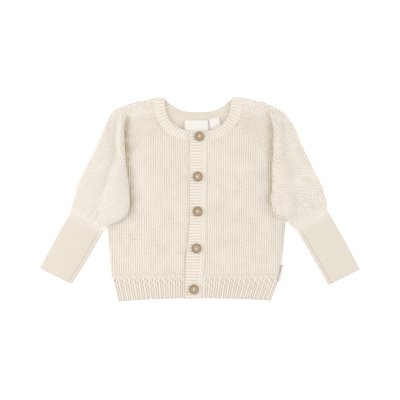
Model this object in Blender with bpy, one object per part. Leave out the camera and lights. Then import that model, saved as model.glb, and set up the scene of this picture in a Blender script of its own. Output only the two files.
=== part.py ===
"""A baby cardigan lying flat on its back, buttoned left over right.

Every cloth piece is a wall: a middle surface is worked out from named sizes, its outer
points are moved out by half the wall and by the raised ribs, and its inner points stay plain.
+X is the wearer's left, +Y is towards the neck, +Z is up, and z = 0 is the resting surface.
"""
import math

import bmesh
import bpy
import numpy as np
from mathutils import Matrix

MM = 0.001

# Walls and layers, in millimetres
WALL = 2.0              # knitted cloth
CUFF_WALL = 1.5         # finer rib of the cuffs
TAPE_WALL = 1.0         # woven labels
SEAM = 0.45             # clear space between two pieces at a seam
LAYER = 0.3             # clear space between two pieces that lie on each other
EDGE_CLEAR = 1.6 * SEAM  # sideways clearance along a slanting or curved edge
BACK_Z = WALL / 2       # middle of the back layer
FRONT_Z = BACK_Z + WALL + LAYER         # middle of the front layer
BAND_RISE = 2.5         # top band above the layer that it covers
PUFF = 1.6              # how far the fronts stand up from the back
BAND_LIFT = 1.9         # left front beside the band that lies on the button band
NEAR_SHARE = 0.45       # share of the swell that is lost beside the band
FOLD_RISE = 6.6         # top of a sleeve's pleat above the layer that it lies on
EDGE_DROP = 1.0         # how far a front's side edge rolls down

# Ribs: pitch across the ribs and height, in millimetres
BODY_RIB = (3.05, 0.55)
SLEEVE_RIB = 0.55       # the sleeves' ribs fan out from the shoulder
SLEEVE_RIBS = 26
HEM_RIB = (3.47, 0.8)
NECK_RIB = (4.55, 0.6)
BAND_RIB = (3.95, 0.5)
CUFF_RIB = 0.25
CUFF_RIBS = 17
CUFF_SWELL = 0.9        # how far a cuff's top stands up between its edges

# Neck opening: middle, corner height, half widths and depths, in millimetres
NECK_X = -2.2
NECK_TOP = 136.2
NECK_IN_HALF = 44.6
NECK_OUT_HALF = 59.6
NECK_FRONT_IN_DEPTH = 44.0
NECK_FRONT_OUT_DEPTH = 56.4
NECK_BACK_IN_DEPTH = 17.8
NECK_BACK_OUT_DEPTH = 34.2
NECK_FRONT_POWER = 2.45     # squareness of the front curve, 2 is an ellipse
NECK_BACK_SLOPE = 1.62      # steepness of the back's inner edge at its corners
NECK_BACK_START = 0.8       # how upright that edge starts, lower is more upright
NECK_BACK_TURN = 6.0        # how tightly it turns level, higher is tighter
NECK_BACK_PACE = 0.7        # how soon its points leave the corner, lower is sooner
NECK_BACK_OUT_POWER = 3.0
TUCK_LIFT = 1.4             # the front of the neck lies on the two labels

# Buttonhole band: its two edges from neck to hem, in millimetres
BAND = [dict(y=93.0, left=-12.6, right=10.4),
        dict(y=60.0, left=-13.0, right=9.8),
        dict(y=20.0, left=-13.4, right=9.0),
        dict(y=-20.0, left=-13.2, right=8.4),
        dict(y=-50.0, left=-15.0, right=8.0),
        dict(y=-75.0, left=-18.2, right=6.9),
        dict(y=-102.0, left=-19.2, right=4.6),
        dict(y=-133.5, left=-20.2, right=2.9)]

BAND_HALF = 11.0        # half its width, for counting the ribs of the fronts

# Side and hem of the body, from underarm to hem, in millimetres
RIGHT_SIDE = [dict(x=-125.0, y=-38.5), dict(x=-123.6, y=-58.0), dict(x=-122.0, y=-80.0),
              dict(x=-119.6, y=-101.0), dict(x=-115.0, y=-119.0), dict(x=-110.5, y=-137.0)]
LEFT_SIDE = [dict(x=116.5, y=-29.5), dict(x=113.9, y=-46.0), dict(x=113.2, y=-68.0),
             dict(x=110.0, y=-99.0), dict(x=103.0, y=-118.0), dict(x=95.5, y=-138.0)]
HEM_TOP = -101.0
HEM_END_DIP = 4.4       # corners of the hem hang lower than its middle
HEM_MIDDLE = -133.2

# Sleeves, a row for each section from neck to cuff. A section runs from the folded outer
# edge to the raglan seam; fold is how far the pleat's edge reaches past that seam, tuck is
# how deep the pleat goes under, turn is 0 where there is no pleat and 1 where it doubles back,
# and rib weighs the rib height.
RIGHT_SLEEVE = [
    dict(outer=(-62.0, 136.2), seam=(-54.0, 99.8), fold=-19.0, tuck=-4.0, turn=0.0, rib=0.0),
    dict(outer=(-79.3, 132.4), seam=(-66.0, 90.3), fold=-26.0, tuck=-6.0, turn=0.0, rib=0.0),
    dict(outer=(-93.8, 128.6), seam=(-75.0, 81.3), fold=-33.0, tuck=-7.0, turn=0.0, rib=0.0),
    dict(outer=(-106.6, 124.2), seam=(-84.0, 72.3), fold=-45.0, tuck=-5.0, turn=0.4, rib=0.1),
    dict(outer=(-116.4, 119.4), seam=(-91.0, 64.3), fold=-31.0, tuck=3.5, turn=1.0, rib=0.6),
    dict(outer=(-123.4, 108.2), seam=(-97.0, 56.5), fold=-13.5, tuck=8.0, turn=1.0, rib=1.0),
    dict(outer=(-129.2, 93.2), seam=(-102.3, 48.0), fold=1.8, tuck=8.0, turn=1.0, rib=1.0),
    dict(outer=(-136.0, 79.2), seam=(-106.5, 38.0), fold=12.7, tuck=16.8, turn=1.0, rib=1.0),
    dict(outer=(-143.2, 62.8), seam=(-110.5, 25.0), fold=19.6, tuck=23.6, turn=1.0, rib=1.0),
    dict(outer=(-151.9, 46.9), seam=(-114.5, 11.5), fold=23.7, tuck=27.5, turn=1.0, rib=1.0),
    dict(outer=(-159.9, 30.0), seam=(-118.3, -2.3), fold=23.2, tuck=26.7, turn=1.0, rib=1.0),
    dict(outer=(-166.5, 13.2), seam=(-121.5, -16.0), fold=16.2, tuck=19.5, turn=1.0, rib=1.0),
    dict(outer=(-170.6, -2.0), seam=(-124.0, -29.5), fold=3.2, tuck=5.6, turn=1.0, rib=1.0),
    dict(outer=(-173.0, -11.5), seam=(-125.5, -38.0), fold=-4.5, tuck=-3.6, turn=0.6, rib=1.0),
    dict(outer=(-174.2, -17.6), seam=(-131.2, -42.8), fold=-7.0, tuck=-5.0, turn=0.0, rib=0.7)]
LEFT_SLEEVE = [
    dict(outer=(57.7, 136.2), seam=(49.6, 99.8), fold=-19.0, tuck=-4.0, turn=0.0, rib=0.0),
    dict(outer=(72.6, 133.8), seam=(61.7, 91.5), fold=-26.0, tuck=-6.0, turn=0.0, rib=0.0),
    dict(outer=(87.4, 130.0), seam=(70.4, 83.2), fold=-33.0, tuck=-7.0, turn=0.0, rib=0.0),
    dict(outer=(100.2, 123.8), seam=(79.2, 73.6), fold=-47.0, tuck=-5.0, turn=0.4, rib=0.1),
    dict(outer=(111.2, 118.0), seam=(87.4, 64.6), fold=-35.0, tuck=3.5, turn=1.0, rib=0.6),
    dict(outer=(119.6, 109.2), seam=(94.4, 57.0), fold=-17.2, tuck=8.0, turn=1.0, rib=1.0),
    dict(outer=(127.0, 97.8), seam=(100.0, 49.6), fold=-1.4, tuck=7.6, turn=1.0, rib=1.0),
    dict(outer=(133.0, 84.0), seam=(104.2, 41.5), fold=6.2, tuck=10.2, turn=1.0, rib=1.0),
    dict(outer=(140.1, 66.6), seam=(107.6, 30.6), fold=10.3, tuck=14.3, turn=1.0, rib=1.0),
    dict(outer=(149.2, 48.3), seam=(110.2, 19.0), fold=12.8, tuck=16.6, turn=1.0, rib=1.0),
    dict(outer=(156.6, 32.9), seam=(112.4, 7.0), fold=15.4, tuck=19.0, turn=1.0, rib=1.0),
    dict(outer=(164.2, 17.8), seam=(114.4, -6.0), fold=14.2, tuck=17.7, turn=1.0, rib=1.0),
    dict(outer=(169.0, 2.0), seam=(115.8, -18.6), fold=7.4, tuck=9.9, turn=1.0, rib=1.0),
    dict(outer=(170.9, -7.0), seam=(117.0, -29.3), fold=-3.0, tuck=-3.0, turn=0.6, rib=1.0),
    dict(outer=(172.0, -14.2), seam=(131.4, -41.4), fold=-7.0, tuck=-5.0, turn=0.0, rib=0.7)]
SLEEVE_BACK = (0.5, 0.72, 0.88, 0.97, 1.0)      # back layer's share of the first sections
NECK_BOW = 2.5          # first section bows round the neckband, fading over BOW_ROWS rows
BOW_ROWS = 3.0
CAP_COLUMNS = 5         # points along each stretch of a section
BEND_COLUMNS = 3
UNDER_COLUMNS = 5
PLEAT_REACH = 2.3       # how far a deep pleat's two folds bulge
LEAST_REACH = 0.3       # the same where the pleat has no depth yet
BEND_REACH = 2.2        # how far the outer edge bulges
PLEAT_SLOPE = 15.0      # how far the cloth takes to come down beside a pleat
SLEEVE_LOFT = 1.4       # how far a sleeve's top stands up between its edges

# Cuffs: where the join and the open end lie, outer edge first, in millimetres
RIGHT_CUFF = dict(join=((-174.6, -18.4), (-131.6, -43.4)), end=((-216.2, -93.2), (-173.9, -114.0)),
                  outer_bow=-1.0, inner_bow=1.6)
LEFT_CUFF = dict(join=((172.4, -15.0), (132.0, -42.0)), end=((216.2, -94.6), (174.2, -115.4)),
                 outer_bow=1.0, inner_bow=0.4)

# Buttons, from neck to hem, in millimetres
BUTTONS = [dict(x=-0.6, y=85.2), dict(x=-3.0, y=31.0), dict(x=-3.0, y=-15.9),
           dict(x=-4.6, y=-65.5), dict(x=-8.0, y=-120.6)]
BUTTON_RADIUS = 6.5
BUTTON_THICK = 2.8
BUTTON_HOLE = 0.8
BUTTON_HOLE_RING = 1.35
BUTTON_LIFT = 0.35      # thread shank under the button
BUTTON_DISH = 0.8       # depth of the dished middle
BUTTON_SEGMENTS = 14

# Labels: middle, half sizes and turn, in millimetres and degrees
NECK_LABEL = dict(x=-4.4, y=99.2, half_x=15.8, half_y=8.2, turn=0.6)
SIZE_LABEL = dict(x=20.6, y=103.4, half_x=7.2, half_y=7.6, turn=14.0)
SIDE_LABEL = dict(top=(111.9, -88.0), foot=(106.4, -110.4), out=2.5, inset=1.5)

# Colours as (red, green, blue, roughness)
BODY_YARN = (0.84, 0.77, 0.67, 0.95)
CUFF_YARN = (0.80, 0.74, 0.64, 0.95)
BAND_YARN = (0.85, 0.79, 0.69, 0.95)
LABEL_TAPE = (0.90, 0.87, 0.82, 0.8)
BUTTON_WOOD = (0.47, 0.31, 0.18, 0.55)


def clear_objects():
    """Empty the scene."""
    for item in list(bpy.data.objects):
        bpy.data.objects.remove(item, do_unlink=True)


def finish_material(name, colour):
    """One plain Principled material for one sub-part."""
    red, green, blue, roughness = colour
    material = bpy.data.materials.new(name)
    material.use_nodes = True
    shader = material.node_tree.nodes["Principled BSDF"]
    shader.inputs["Base Color"].default_value = (red, green, blue, 1.0)
    shader.inputs["Roughness"].default_value = roughness
    shader.inputs["Metallic"].default_value = 0.0
    return material


def add_object(name, mesh, colour):
    """Link a finished mesh to the scene as one named object with its own material."""
    mesh.materials.append(finish_material(name + "_finish", colour))
    item = bpy.data.objects.new(name, mesh)
    bpy.context.scene.collection.objects.link(item)
    return item


def soft_step(low, high, value):
    """0 below low, 1 above high, and a smooth rise between."""
    share = np.clip((np.asarray(value, float) - low) / (high - low), 0.0, 1.0)
    return share * share * (3.0 - 2.0 * share)


def through_rows(values, places):
    """Read a smooth curve through evenly numbered rows (Catmull-Rom) at fractional places."""
    values = np.asarray(values, float)
    last = len(values) - 1
    places = np.clip(np.asarray(places, float), 0.0, last)
    row = np.minimum(places.astype(int), last - 1)
    part = (places - row).reshape((-1,) + (1,) * (values.ndim - 1))
    before, start = values[np.maximum(row - 1, 0)], values[row]
    end, after = values[row + 1], values[np.minimum(row + 2, last)]
    slope_start, slope_end = (end - before) / 2, (after - start) / 2
    return ((2 * part**3 - 3 * part**2 + 1) * start + (part**3 - 2 * part**2 + part) * slope_start
            + (3 * part**2 - 2 * part**3) * end + (part**3 - part**2) * slope_end)


def normals_of(grid, wrap=False):
    """Unit normals of a grid of points; they face up where rows run down and columns run to +X."""
    if wrap:
        across = np.roll(grid, -1, axis=1) - np.roll(grid, 1, axis=1)
    else:
        across = np.gradient(grid, axis=1)
    normal = np.cross(np.gradient(grid, axis=0), across)
    return normal / np.maximum(np.linalg.norm(normal, axis=2, keepdims=True), 1e-9)


def spread(count, wanted):
    """Evenly spread index numbers out of `count`, first and last among them."""
    return np.unique(np.round(np.linspace(0, count - 1, wanted)).astype(int))


def zip_edges(faces, points, fine, coarse):
    """Close the strip between two edges that run side by side, by the shorter diagonal."""
    i, j = 0, 0
    while i < len(fine) - 1 or j < len(coarse) - 1:
        if j == len(coarse) - 1:
            fine_next = True
        elif i == len(fine) - 1:
            fine_next = False
        else:
            fine_gap = np.linalg.norm(points[fine[i + 1]] - points[coarse[j]])
            coarse_gap = np.linalg.norm(points[fine[i]] - points[coarse[j + 1]])
            fine_next = fine_gap <= coarse_gap
        if fine_next:
            faces.append((fine[i], coarse[j], fine[i + 1]))
            i += 1
        else:
            faces.append((fine[i], coarse[j], coarse[j + 1]))
            j += 1


def wall_mesh(name, outer, inner, wrap=False):
    """Closed wall between an outer and a coarser inner grid of points, in millimetres.

    Rows run down the first index. With wrap, the last column joins the first one.
    """
    rows, columns = outer.shape[:2]
    inner_rows, inner_columns = inner.shape[:2]
    base = rows * columns
    top = np.arange(base).reshape(rows, columns)
    low = base + np.arange(inner_rows * inner_columns).reshape(inner_rows, inner_columns)
    if wrap:
        top = np.hstack([top, top[:, :1]])
        low = np.hstack([low, low[:, :1]])
    points = np.vstack([outer.reshape(-1, 3), inner.reshape(-1, 3)]) * MM
    faces = []
    for ids, flip in ((top, False), (low, True)):
        a, b, c, d = ids[:-1, :-1], ids[:-1, 1:], ids[1:, 1:], ids[1:, :-1]
        quads = np.stack([a, d, c, b] if flip else [a, b, c, d], axis=-1).reshape(-1, 4)
        faces.extend(map(tuple, quads.tolist()))
    zip_edges(faces, points, top[-1].tolist(), low[-1].tolist())
    zip_edges(faces, points, top[0][::-1].tolist(), low[0][::-1].tolist())
    if not wrap:
        zip_edges(faces, points, top[:, 0].tolist(), low[:, 0].tolist())
        zip_edges(faces, points, top[::-1, -1].tolist(), low[::-1, -1].tolist())
    mesh = bpy.data.meshes.new(name)
    mesh.from_pydata(points.tolist(), [], faces)
    shell = bmesh.new()
    shell.from_mesh(mesh)
    bmesh.ops.recalc_face_normals(shell, faces=shell.faces)
    if shell.calc_volume(signed=True) < 0:
        bmesh.ops.reverse_faces(shell, faces=shell.faces)
    bmesh.ops.triangulate(shell, faces=shell.faces)
    shell.to_mesh(mesh)
    shell.free()
    return mesh


def cloth(name, middle, colour, ribs=0.0, wall=WALL, inner_size=(8, 12), wrap=False, drop=0.0,
          keep=None):
    """Thicken a middle surface into a wall whose outer points carry the raised ribs.

    ribs and drop are heights for each point; nothing reaches below the resting surface.
    The plain inner side keeps inner_size evenly spread rows and columns, or the columns in keep.
    """
    normal = normals_of(middle, wrap)
    outer = middle + normal * (wall / 2 + np.asarray(ribs))[..., None]
    outer[..., 2] -= drop
    inner = middle - normal * (wall / 2)
    keep_rows = spread(middle.shape[0], inner_size[0])
    keep_columns = spread(middle.shape[1] + int(wrap), inner_size[1]) if keep is None else keep
    if wrap:
        keep_columns = keep_columns[:-1]
    inner = inner[np.ix_(keep_rows, keep_columns)]
    outer[..., 2] = np.maximum(outer[..., 2], 0.0)
    inner[..., 2] = np.maximum(inner[..., 2], 0.0)
    return add_object(name, wall_mesh(name, outer, inner, wrap), colour)


def every_other(count, height):
    """Rib heights for columns that are crest, furrow, crest, furrow."""
    return height * (np.arange(count) % 2)


# ---------------------------------------------------------------- shared curves and heights


def table_curve(table, key, y):
    """A named column of a table as a smooth function of height y."""
    heights = np.array([row["y"] for row in table])
    values = np.array([row[key] for row in table], float)
    places = np.interp(-np.asarray(y, float).ravel(), -heights, np.arange(len(table)))
    return through_rows(values, places).reshape(np.shape(y))


def front_lift(x, y):
    """How far the front layer stands above its lowest place: a low swell on each front,
    and a rise towards the buttonhole band on the left front."""
    swell = soft_step(93.0, 62.0, np.abs(x + 2.0)) * soft_step(-136.0, -104.0, y)
    swell = swell * soft_step(100.0, 62.0, y)
    near_band = soft_step(42.0, 12.0, x) * soft_step(0.0, 6.0, x)
    tuck = TUCK_LIFT * soft_step(40.0, 32.0, np.abs(x - 5.0)) * soft_step(66.0, 88.0, y)
    tuck = tuck * soft_step(116.0, 104.0, y)
    return PUFF * swell * (1 - NEAR_SHARE * near_band) + BAND_LIFT * near_band + tuck


def neck_arc(half, depth, power, share):
    """A quarter of a squared-off ellipse, share 0 at the lowest point and 1 at the corner."""
    angle = np.asarray(share, float) * math.pi / 2
    reach = np.sin(angle) ** (2 / power) * half
    drop = np.cos(angle) ** (2 / power) * depth
    return reach, NECK_TOP - drop


def neck_slope(half, depth, share):
    """The back's inner edge: straight down from the corner at share 1, level at share 0."""
    reach = np.cos((1 - np.asarray(share, float)) ** NECK_BACK_PACE * math.pi / 2)
    fall = NECK_BACK_SLOPE * np.maximum(1 - reach, 1e-4) ** NECK_BACK_START
    return reach * half, NECK_TOP - depth * (1 + fall**-NECK_BACK_TURN) ** (-1 / NECK_BACK_TURN)


def neck_edge_y(x, depth, power):
    """Upper edge of a body panel at x under the neckband, clear of it by a seam's width."""
    reach = np.abs(np.asarray(x, float) - NECK_X) - EDGE_CLEAR
    reach = np.clip(reach / NECK_OUT_HALF, 0.0, 1.0)
    return NECK_TOP - depth * (1 - reach**power) ** (1 / power) - SEAM


def hem_bottom_y(x):
    """Lower edge of the hem: its corners hang a little lower than its middle."""
    return HEM_MIDDLE - HEM_END_DIP * (np.asarray(x, float) / 110.0) ** 2


def back_share(rows):
    """Share of each sleeve section that the back layer covers."""
    return np.interp(np.arange(len(rows)), np.arange(len(SLEEVE_BACK)), SLEEVE_BACK)


def section_plan(rows, number, share):
    """Plan points of a sleeve section at shares of its width, bowed round the neckband."""
    outer, seam = np.array(rows[number]["outer"]), np.array(rows[number]["seam"])
    inward = (seam - outer) / np.linalg.norm(seam - outer)
    aside = np.array([inward[1], -inward[0]]) * math.copysign(1.0, outer[0] * inward[1])
    bow = NECK_BOW * max(0.0, 1.0 - number / BOW_ROWS)
    share = np.asarray(share, float).reshape(-1, 1)
    bend = np.clip(share, 0.0, 1.0)
    return outer + (seam - outer) * share + aside * bow * 4 * bend * (1 - bend)


def raglan_y(rows, x, back=False):
    """Upper edge of a body panel along the front or back raglan seam, clear of the sleeve."""
    shares = back_share(rows) if back else np.ones(len(rows))
    seam = np.vstack([section_plan(rows, k, shares[k]) for k in range(len(rows) - 1)])
    outward = math.copysign(EDGE_CLEAR, seam[-1, 0])
    order = np.argsort(seam[:, 0])
    return np.interp(x + outward, seam[order, 0], seam[order, 1]) - SEAM


# ------------------------------------------------------------------------------- body panels


def front_middle(side_rows, sleeve_rows, band_key, sign, columns, rows):
    """Middle surface of one front: its ribs run from the hem welt to the raglan and neck."""
    underarm = abs(side_rows[0]["x"]) - SEAM
    share = np.linspace(0.0, 1.0, columns)
    band_bottom = table_curve(BAND, band_key, HEM_TOP) + sign * SEAM
    band_top = table_curve(BAND, band_key, 85.0) + sign * SEAM
    side_bottom = sign * (abs(side_rows[3]["x"]) - SEAM)
    x_low = band_bottom + (side_bottom - band_bottom) * share
    x_high = band_top + (sign * underarm - band_top) * share
    neck_edge = neck_edge_y(x_high, NECK_FRONT_OUT_DEPTH, NECK_FRONT_POWER)
    raglan_edge = raglan_y(sleeve_rows, x_high)
    y_high = np.minimum(neck_edge, raglan_edge)
    y_low = np.full(columns, HEM_TOP + SEAM)
    down = np.linspace(0.0, 1.0, rows)[:, None]
    y = y_high + (y_low - y_high) * down
    straight = x_high + (x_low - x_high) * down
    edge = table_curve(BAND, band_key, np.clip(y, -133.0, 90.0)) + sign * SEAM
    bend = edge - (band_top + (band_bottom - band_top) * down)
    x = straight + bend * (1 - share) ** 2
    z = FRONT_Z + front_lift(x, y)
    return np.stack([x, y, z], axis=-1)


def build_front(name, side_rows, sleeve_rows, band_key, sign):
    """One front panel with its lengthwise ribs."""
    width = abs(side_rows[0]["x"]) - BAND_HALF
    columns = 2 * round(width / BODY_RIB[0]) + 1
    middle = front_middle(side_rows, sleeve_rows, band_key, sign, columns, rows=9)
    ribs = np.tile(every_other(columns, BODY_RIB[1]), (middle.shape[0], 1))
    share = np.linspace(0.0, 1.0, columns)
    drop = EDGE_DROP * soft_step(0.975, 1.0, share) * soft_step(0.3, 0.45,
                                                               np.linspace(0, 1, 9))[:, None]
    if sign < 0:
        middle, ribs, drop = middle[:, ::-1], ribs[:, ::-1], drop[:, ::-1]
    return cloth(name, middle, BODY_YARN, ribs, inner_size=(6, 21), drop=drop)


def build_back():
    """The back panel: flat, under both fronts, up to the back raglans and the neckband."""
    columns, rows = 41, 4
    left_x, right_x = RIGHT_SIDE[0]["x"] + SEAM, LEFT_SIDE[0]["x"] - SEAM
    share = np.linspace(0.0, 1.0, columns)
    x_high = left_x + (right_x - left_x) * share
    low_left, low_right = RIGHT_SIDE[3]["x"] + SEAM, LEFT_SIDE[3]["x"] - SEAM
    x_low = low_left + (low_right - low_left) * share
    neck_edge = neck_edge_y(x_high, NECK_BACK_OUT_DEPTH, NECK_BACK_OUT_POWER)
    raglan_edge = np.where(x_high < 0, raglan_y(RIGHT_SLEEVE, x_high, back=True),
                           raglan_y(LEFT_SLEEVE, x_high, back=True))
    y_high = np.minimum(neck_edge, raglan_edge)
    down = np.linspace(0.0, 1.0, rows)[:, None]
    y = y_high + (HEM_TOP + SEAM - y_high) * down
    x = x_high + (x_low - x_high) * down
    middle = np.stack([x, y, np.full_like(x, BACK_Z)], axis=-1)
    return cloth("back_panel", middle, BODY_YARN, inner_size=(rows, columns))


def hem_grid(x_start, x_end, columns, rows, layer_z):
    """Middle surface of a hem welt between two slanting ends, given at its top and bottom."""
    share = np.linspace(0.0, 1.0, columns)
    down = np.linspace(0.0, 1.0, rows)[:, None]
    top_x = x_start[0] + (x_end[0] - x_start[0]) * share
    low_x = x_start[1] + (x_end[1] - x_start[1]) * share
    x = top_x + (low_x - top_x) * down
    low_y = hem_bottom_y(low_x)
    y = HEM_TOP - SEAM / 2 + (low_y - HEM_TOP + SEAM / 2) * down
    return np.stack([x, y, layer_z(x, y)], axis=-1)


def build_hems():
    """The deep rib welts: one along the back and one on each front."""
    bottom = -133.5
    right_top, right_low = RIGHT_SIDE[3]["x"] + SEAM, RIGHT_SIDE[5]["x"]
    left_top, left_low = LEFT_SIDE[3]["x"] - SEAM, LEFT_SIDE[5]["x"]
    band_left = [float(table_curve(BAND, "left", y)) - SEAM for y in (HEM_TOP, bottom)]
    band_right = [float(table_curve(BAND, "right", y)) + SEAM for y in (HEM_TOP, bottom)]

    def front_z(x, y):
        return FRONT_Z + front_lift(x, y)

    def back_z(x, y):
        return np.full_like(x, BACK_Z)

    spans = [("hem_right_front", (right_top, right_low), band_left),
             ("hem_left_front", band_right, (left_top, left_low))]
    for name, start, end in spans:
        columns = 2 * round(abs(end[0] - start[0]) / HEM_RIB[0]) + 1
        middle = hem_grid(start, end, columns, 4, front_z)
        ribs = np.tile(every_other(columns, HEM_RIB[1]), (4, 1))
        cloth(name, middle, BODY_YARN, ribs, inner_size=(4, 9))
    middle = hem_grid((right_top, right_low), (left_top, left_low), 17, 4, back_z)
    cloth("hem_back", middle, BODY_YARN, inner_size=(4, 17))


# ----------------------------------------------------------------------------------- sleeves


def sleeve_section(width, fold, tuck, turn, back_end):
    """The stretches of one sleeve section as (distance from its outer edge, height) pairs.

    They run from the front seam to the back seam: the cap at the fronts' level, the pleat,
    the top, the folded outer edge and the layer underneath. A pleat with a tuck goes out to
    its first fold and doubles back in to its edge; without one it is a plain slope.
    """
    rise = FOLD_RISE * turn
    edge = width + fold
    first = edge - tuck
    if tuck > 0:
        radius = rise / 4
        reach = LEAST_REACH + PLEAT_REACH * soft_step(0.0, 4.0, tuck)
        angles = np.linspace(-math.pi / 2, math.pi / 2, 5)
        out_turn = np.stack([first - reach * np.cos(angles),
                             FRONT_Z + radius * (1 + np.sin(angles))], axis=1)
        in_turn = np.stack([edge + reach * np.cos(angles),
                            FRONT_Z + radius * (3 + np.sin(angles))], axis=1)
        middle = [[(first + edge) / 2, FRONT_Z + 2 * radius]]
        pleat = np.vstack([out_turn, middle, in_turn])
    else:
        steps = np.linspace(0.0, 1.0, 11)
        pleat = np.stack([first - (first - edge) * steps,
                          FRONT_Z + rise * soft_step(0.0, 1.0, steps)], axis=1)
    cap_d = np.linspace(width, pleat[0, 0], CAP_COLUMNS + 1)[:-1]
    cap = np.stack([cap_d, np.full(CAP_COLUMNS, FRONT_Z)], axis=1)
    bend_radius = (FRONT_Z - BACK_Z) / 2
    steps = np.linspace(0.0, 1.0, 2 * SLEEVE_RIBS + 1)[1:]
    top_d = pleat[-1, 0] + (BEND_REACH - pleat[-1, 0]) * steps
    crest = min(first, edge)
    settle = rise * soft_step(crest - PLEAT_SLOPE, crest + 1.0, top_d)
    loft = SLEEVE_LOFT * np.sin(math.pi * steps) ** 0.8 * soft_step(15.0, 45.0, edge)
    top = np.stack([top_d, FRONT_Z + settle + loft], axis=1)
    angles = np.linspace(math.pi / 2, -math.pi / 2, BEND_COLUMNS + 2)[1:-1]
    bend = np.stack([BEND_REACH - BEND_REACH * np.cos(angles),
                     (FRONT_Z + BACK_Z) / 2 + bend_radius * np.sin(angles)], axis=1)
    under_d = np.linspace(BEND_REACH, back_end, UNDER_COLUMNS)
    under = np.stack([under_d, np.full(UNDER_COLUMNS, BACK_Z)], axis=1)
    return cap, pleat, top, bend, under


def build_sleeve(name, rows, sign):
    """One sleeve: pleated over the front, folded at its outer edge, flat underneath."""
    shares = back_share(rows)
    grid, weights = [], []
    for number, row in enumerate(rows):
        width = math.dist(row["outer"], row["seam"])
        parts = sleeve_section(width, row["fold"], row["tuck"], row["turn"],
                               width * float(shares[number]))
        cap, pleat, top, bend, under = parts
        section = np.vstack(parts)
        plan = section_plan(rows, number, section[:, 0] / width)
        grid.append(np.column_stack([plan, section[:, 1]]))
        crests = every_other(len(top) + 1, row["rib"])[1:]
        weights.append(np.r_[np.zeros(len(cap) + len(pleat)), crests,
                             np.zeros(len(bend) + len(under))])
    middle, weights = np.array(grid), np.array(weights)
    columns = middle.shape[1]
    top_start = len(cap) + len(pleat)
    top_end = top_start + len(top)
    keep = np.r_[0, 3, np.arange(CAP_COLUMNS, top_start), np.arange(top_start + 5, top_end, 6),
                 top_end + 1, np.arange(top_end + BEND_COLUMNS, columns)]
    if sign < 0:
        middle, weights = middle[:, ::-1], weights[:, ::-1]
        keep = columns - 1 - keep[::-1]
    ribs = SLEEVE_RIB * weights
    return cloth(name, middle, BODY_YARN, ribs, inner_size=(len(rows), 0), keep=keep)


def build_cuff(name, sizes, sign):
    """A fine rib tube pressed flat, its underside plain."""
    rows = 6
    down = np.linspace(0.0, 1.0, rows)[:, None]
    (join_out, join_in), (end_out, end_in) = sizes["join"], sizes["end"]
    outer = np.array(join_out) + (np.array(end_out) - np.array(join_out)) * down
    inner = np.array(join_in) + (np.array(end_in) - np.array(join_in)) * down
    outer[:, 0] += sizes["outer_bow"] * np.sin(math.pi * down[:, 0])
    inner[:, 0] += sizes["inner_bow"] * np.sin(math.pi * down[:, 0])
    low, high = CUFF_WALL / 2, CUFF_WALL * 1.5 + LAYER
    radius = (high - low) / 2
    grid, weights = [], []
    for start, end in zip(outer, inner):
        width = float(np.linalg.norm(end - start))
        inward = (end - start) / width
        crest = np.linspace(radius, width - radius, 2 * CUFF_RIBS + 1)
        swell = CUFF_SWELL * np.sin(math.pi * np.linspace(0, 1, len(crest))) ** 0.7
        angles = np.linspace(math.pi / 2, -math.pi / 2, 5)[1:-1]
        top = np.stack([crest, high + swell], axis=1)
        inner_bend = np.stack([width - radius + radius * np.cos(angles),
                               low + radius + radius * np.sin(angles)], axis=1)
        under = np.stack([np.linspace(width - radius, radius, 7), np.full(7, low)], axis=1)
        outer_bend = np.stack([radius - radius * np.cos(angles[::-1]),
                               low + radius + radius * np.sin(angles[::-1])], axis=1)
        section = np.vstack([top, inner_bend, under, outer_bend])
        plan = start + inward * section[:, :1]
        grid.append(np.column_stack([plan, section[:, 1]]))
        weights.append(np.r_[every_other(len(crest), 1.0), np.zeros(len(section) - len(crest))])
    middle, weights = np.array(grid), np.array(weights)
    if sign > 0:
        middle, weights = middle[:, ::-1], weights[:, ::-1]
    ribs = CUFF_RIB * weights
    return cloth(name, middle, CUFF_YARN, ribs, CUFF_WALL, inner_size=(3, 21), wrap=True)


# ------------------------------------------------------------------------ neckband and bands


def neck_rows():
    """Inner and outer edge points of the neckband, from the right front round to the left."""
    share = np.linspace(1.0, 0.0, 60)
    front_in = neck_arc(NECK_IN_HALF, NECK_FRONT_IN_DEPTH, NECK_FRONT_POWER, share)
    front_out = neck_arc(NECK_OUT_HALF, NECK_FRONT_OUT_DEPTH, NECK_FRONT_POWER, share)
    back_in = neck_slope(NECK_IN_HALF, NECK_BACK_IN_DEPTH, share)
    back_out = neck_arc(NECK_OUT_HALF, NECK_BACK_OUT_DEPTH, NECK_BACK_OUT_POWER, share)
    return front_in, front_out, back_in, back_out


def neck_side(sign, end_x):
    """Edges and heights of one front stretch, from the placket end up to the corner."""
    (in_x, in_y), (out_x, out_y), _, _ = neck_rows()
    inner = np.stack([NECK_X + sign * in_x, in_y], axis=1)[::-1]
    outer = np.stack([NECK_X + sign * out_x, out_y], axis=1)[::-1]
    keep = sign * (outer[:, 0] - end_x) > 1.5
    inner, outer = inner[keep], outer[keep]
    first_in = [end_x, np.interp(abs(end_x - NECK_X), in_x[::-1], in_y[::-1])]
    first_out = [end_x, np.interp(abs(end_x - NECK_X), out_x[::-1], out_y[::-1])]
    inner = np.vstack([first_in, inner])
    outer = np.vstack([first_out, outer])
    return inner, outer


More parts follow.
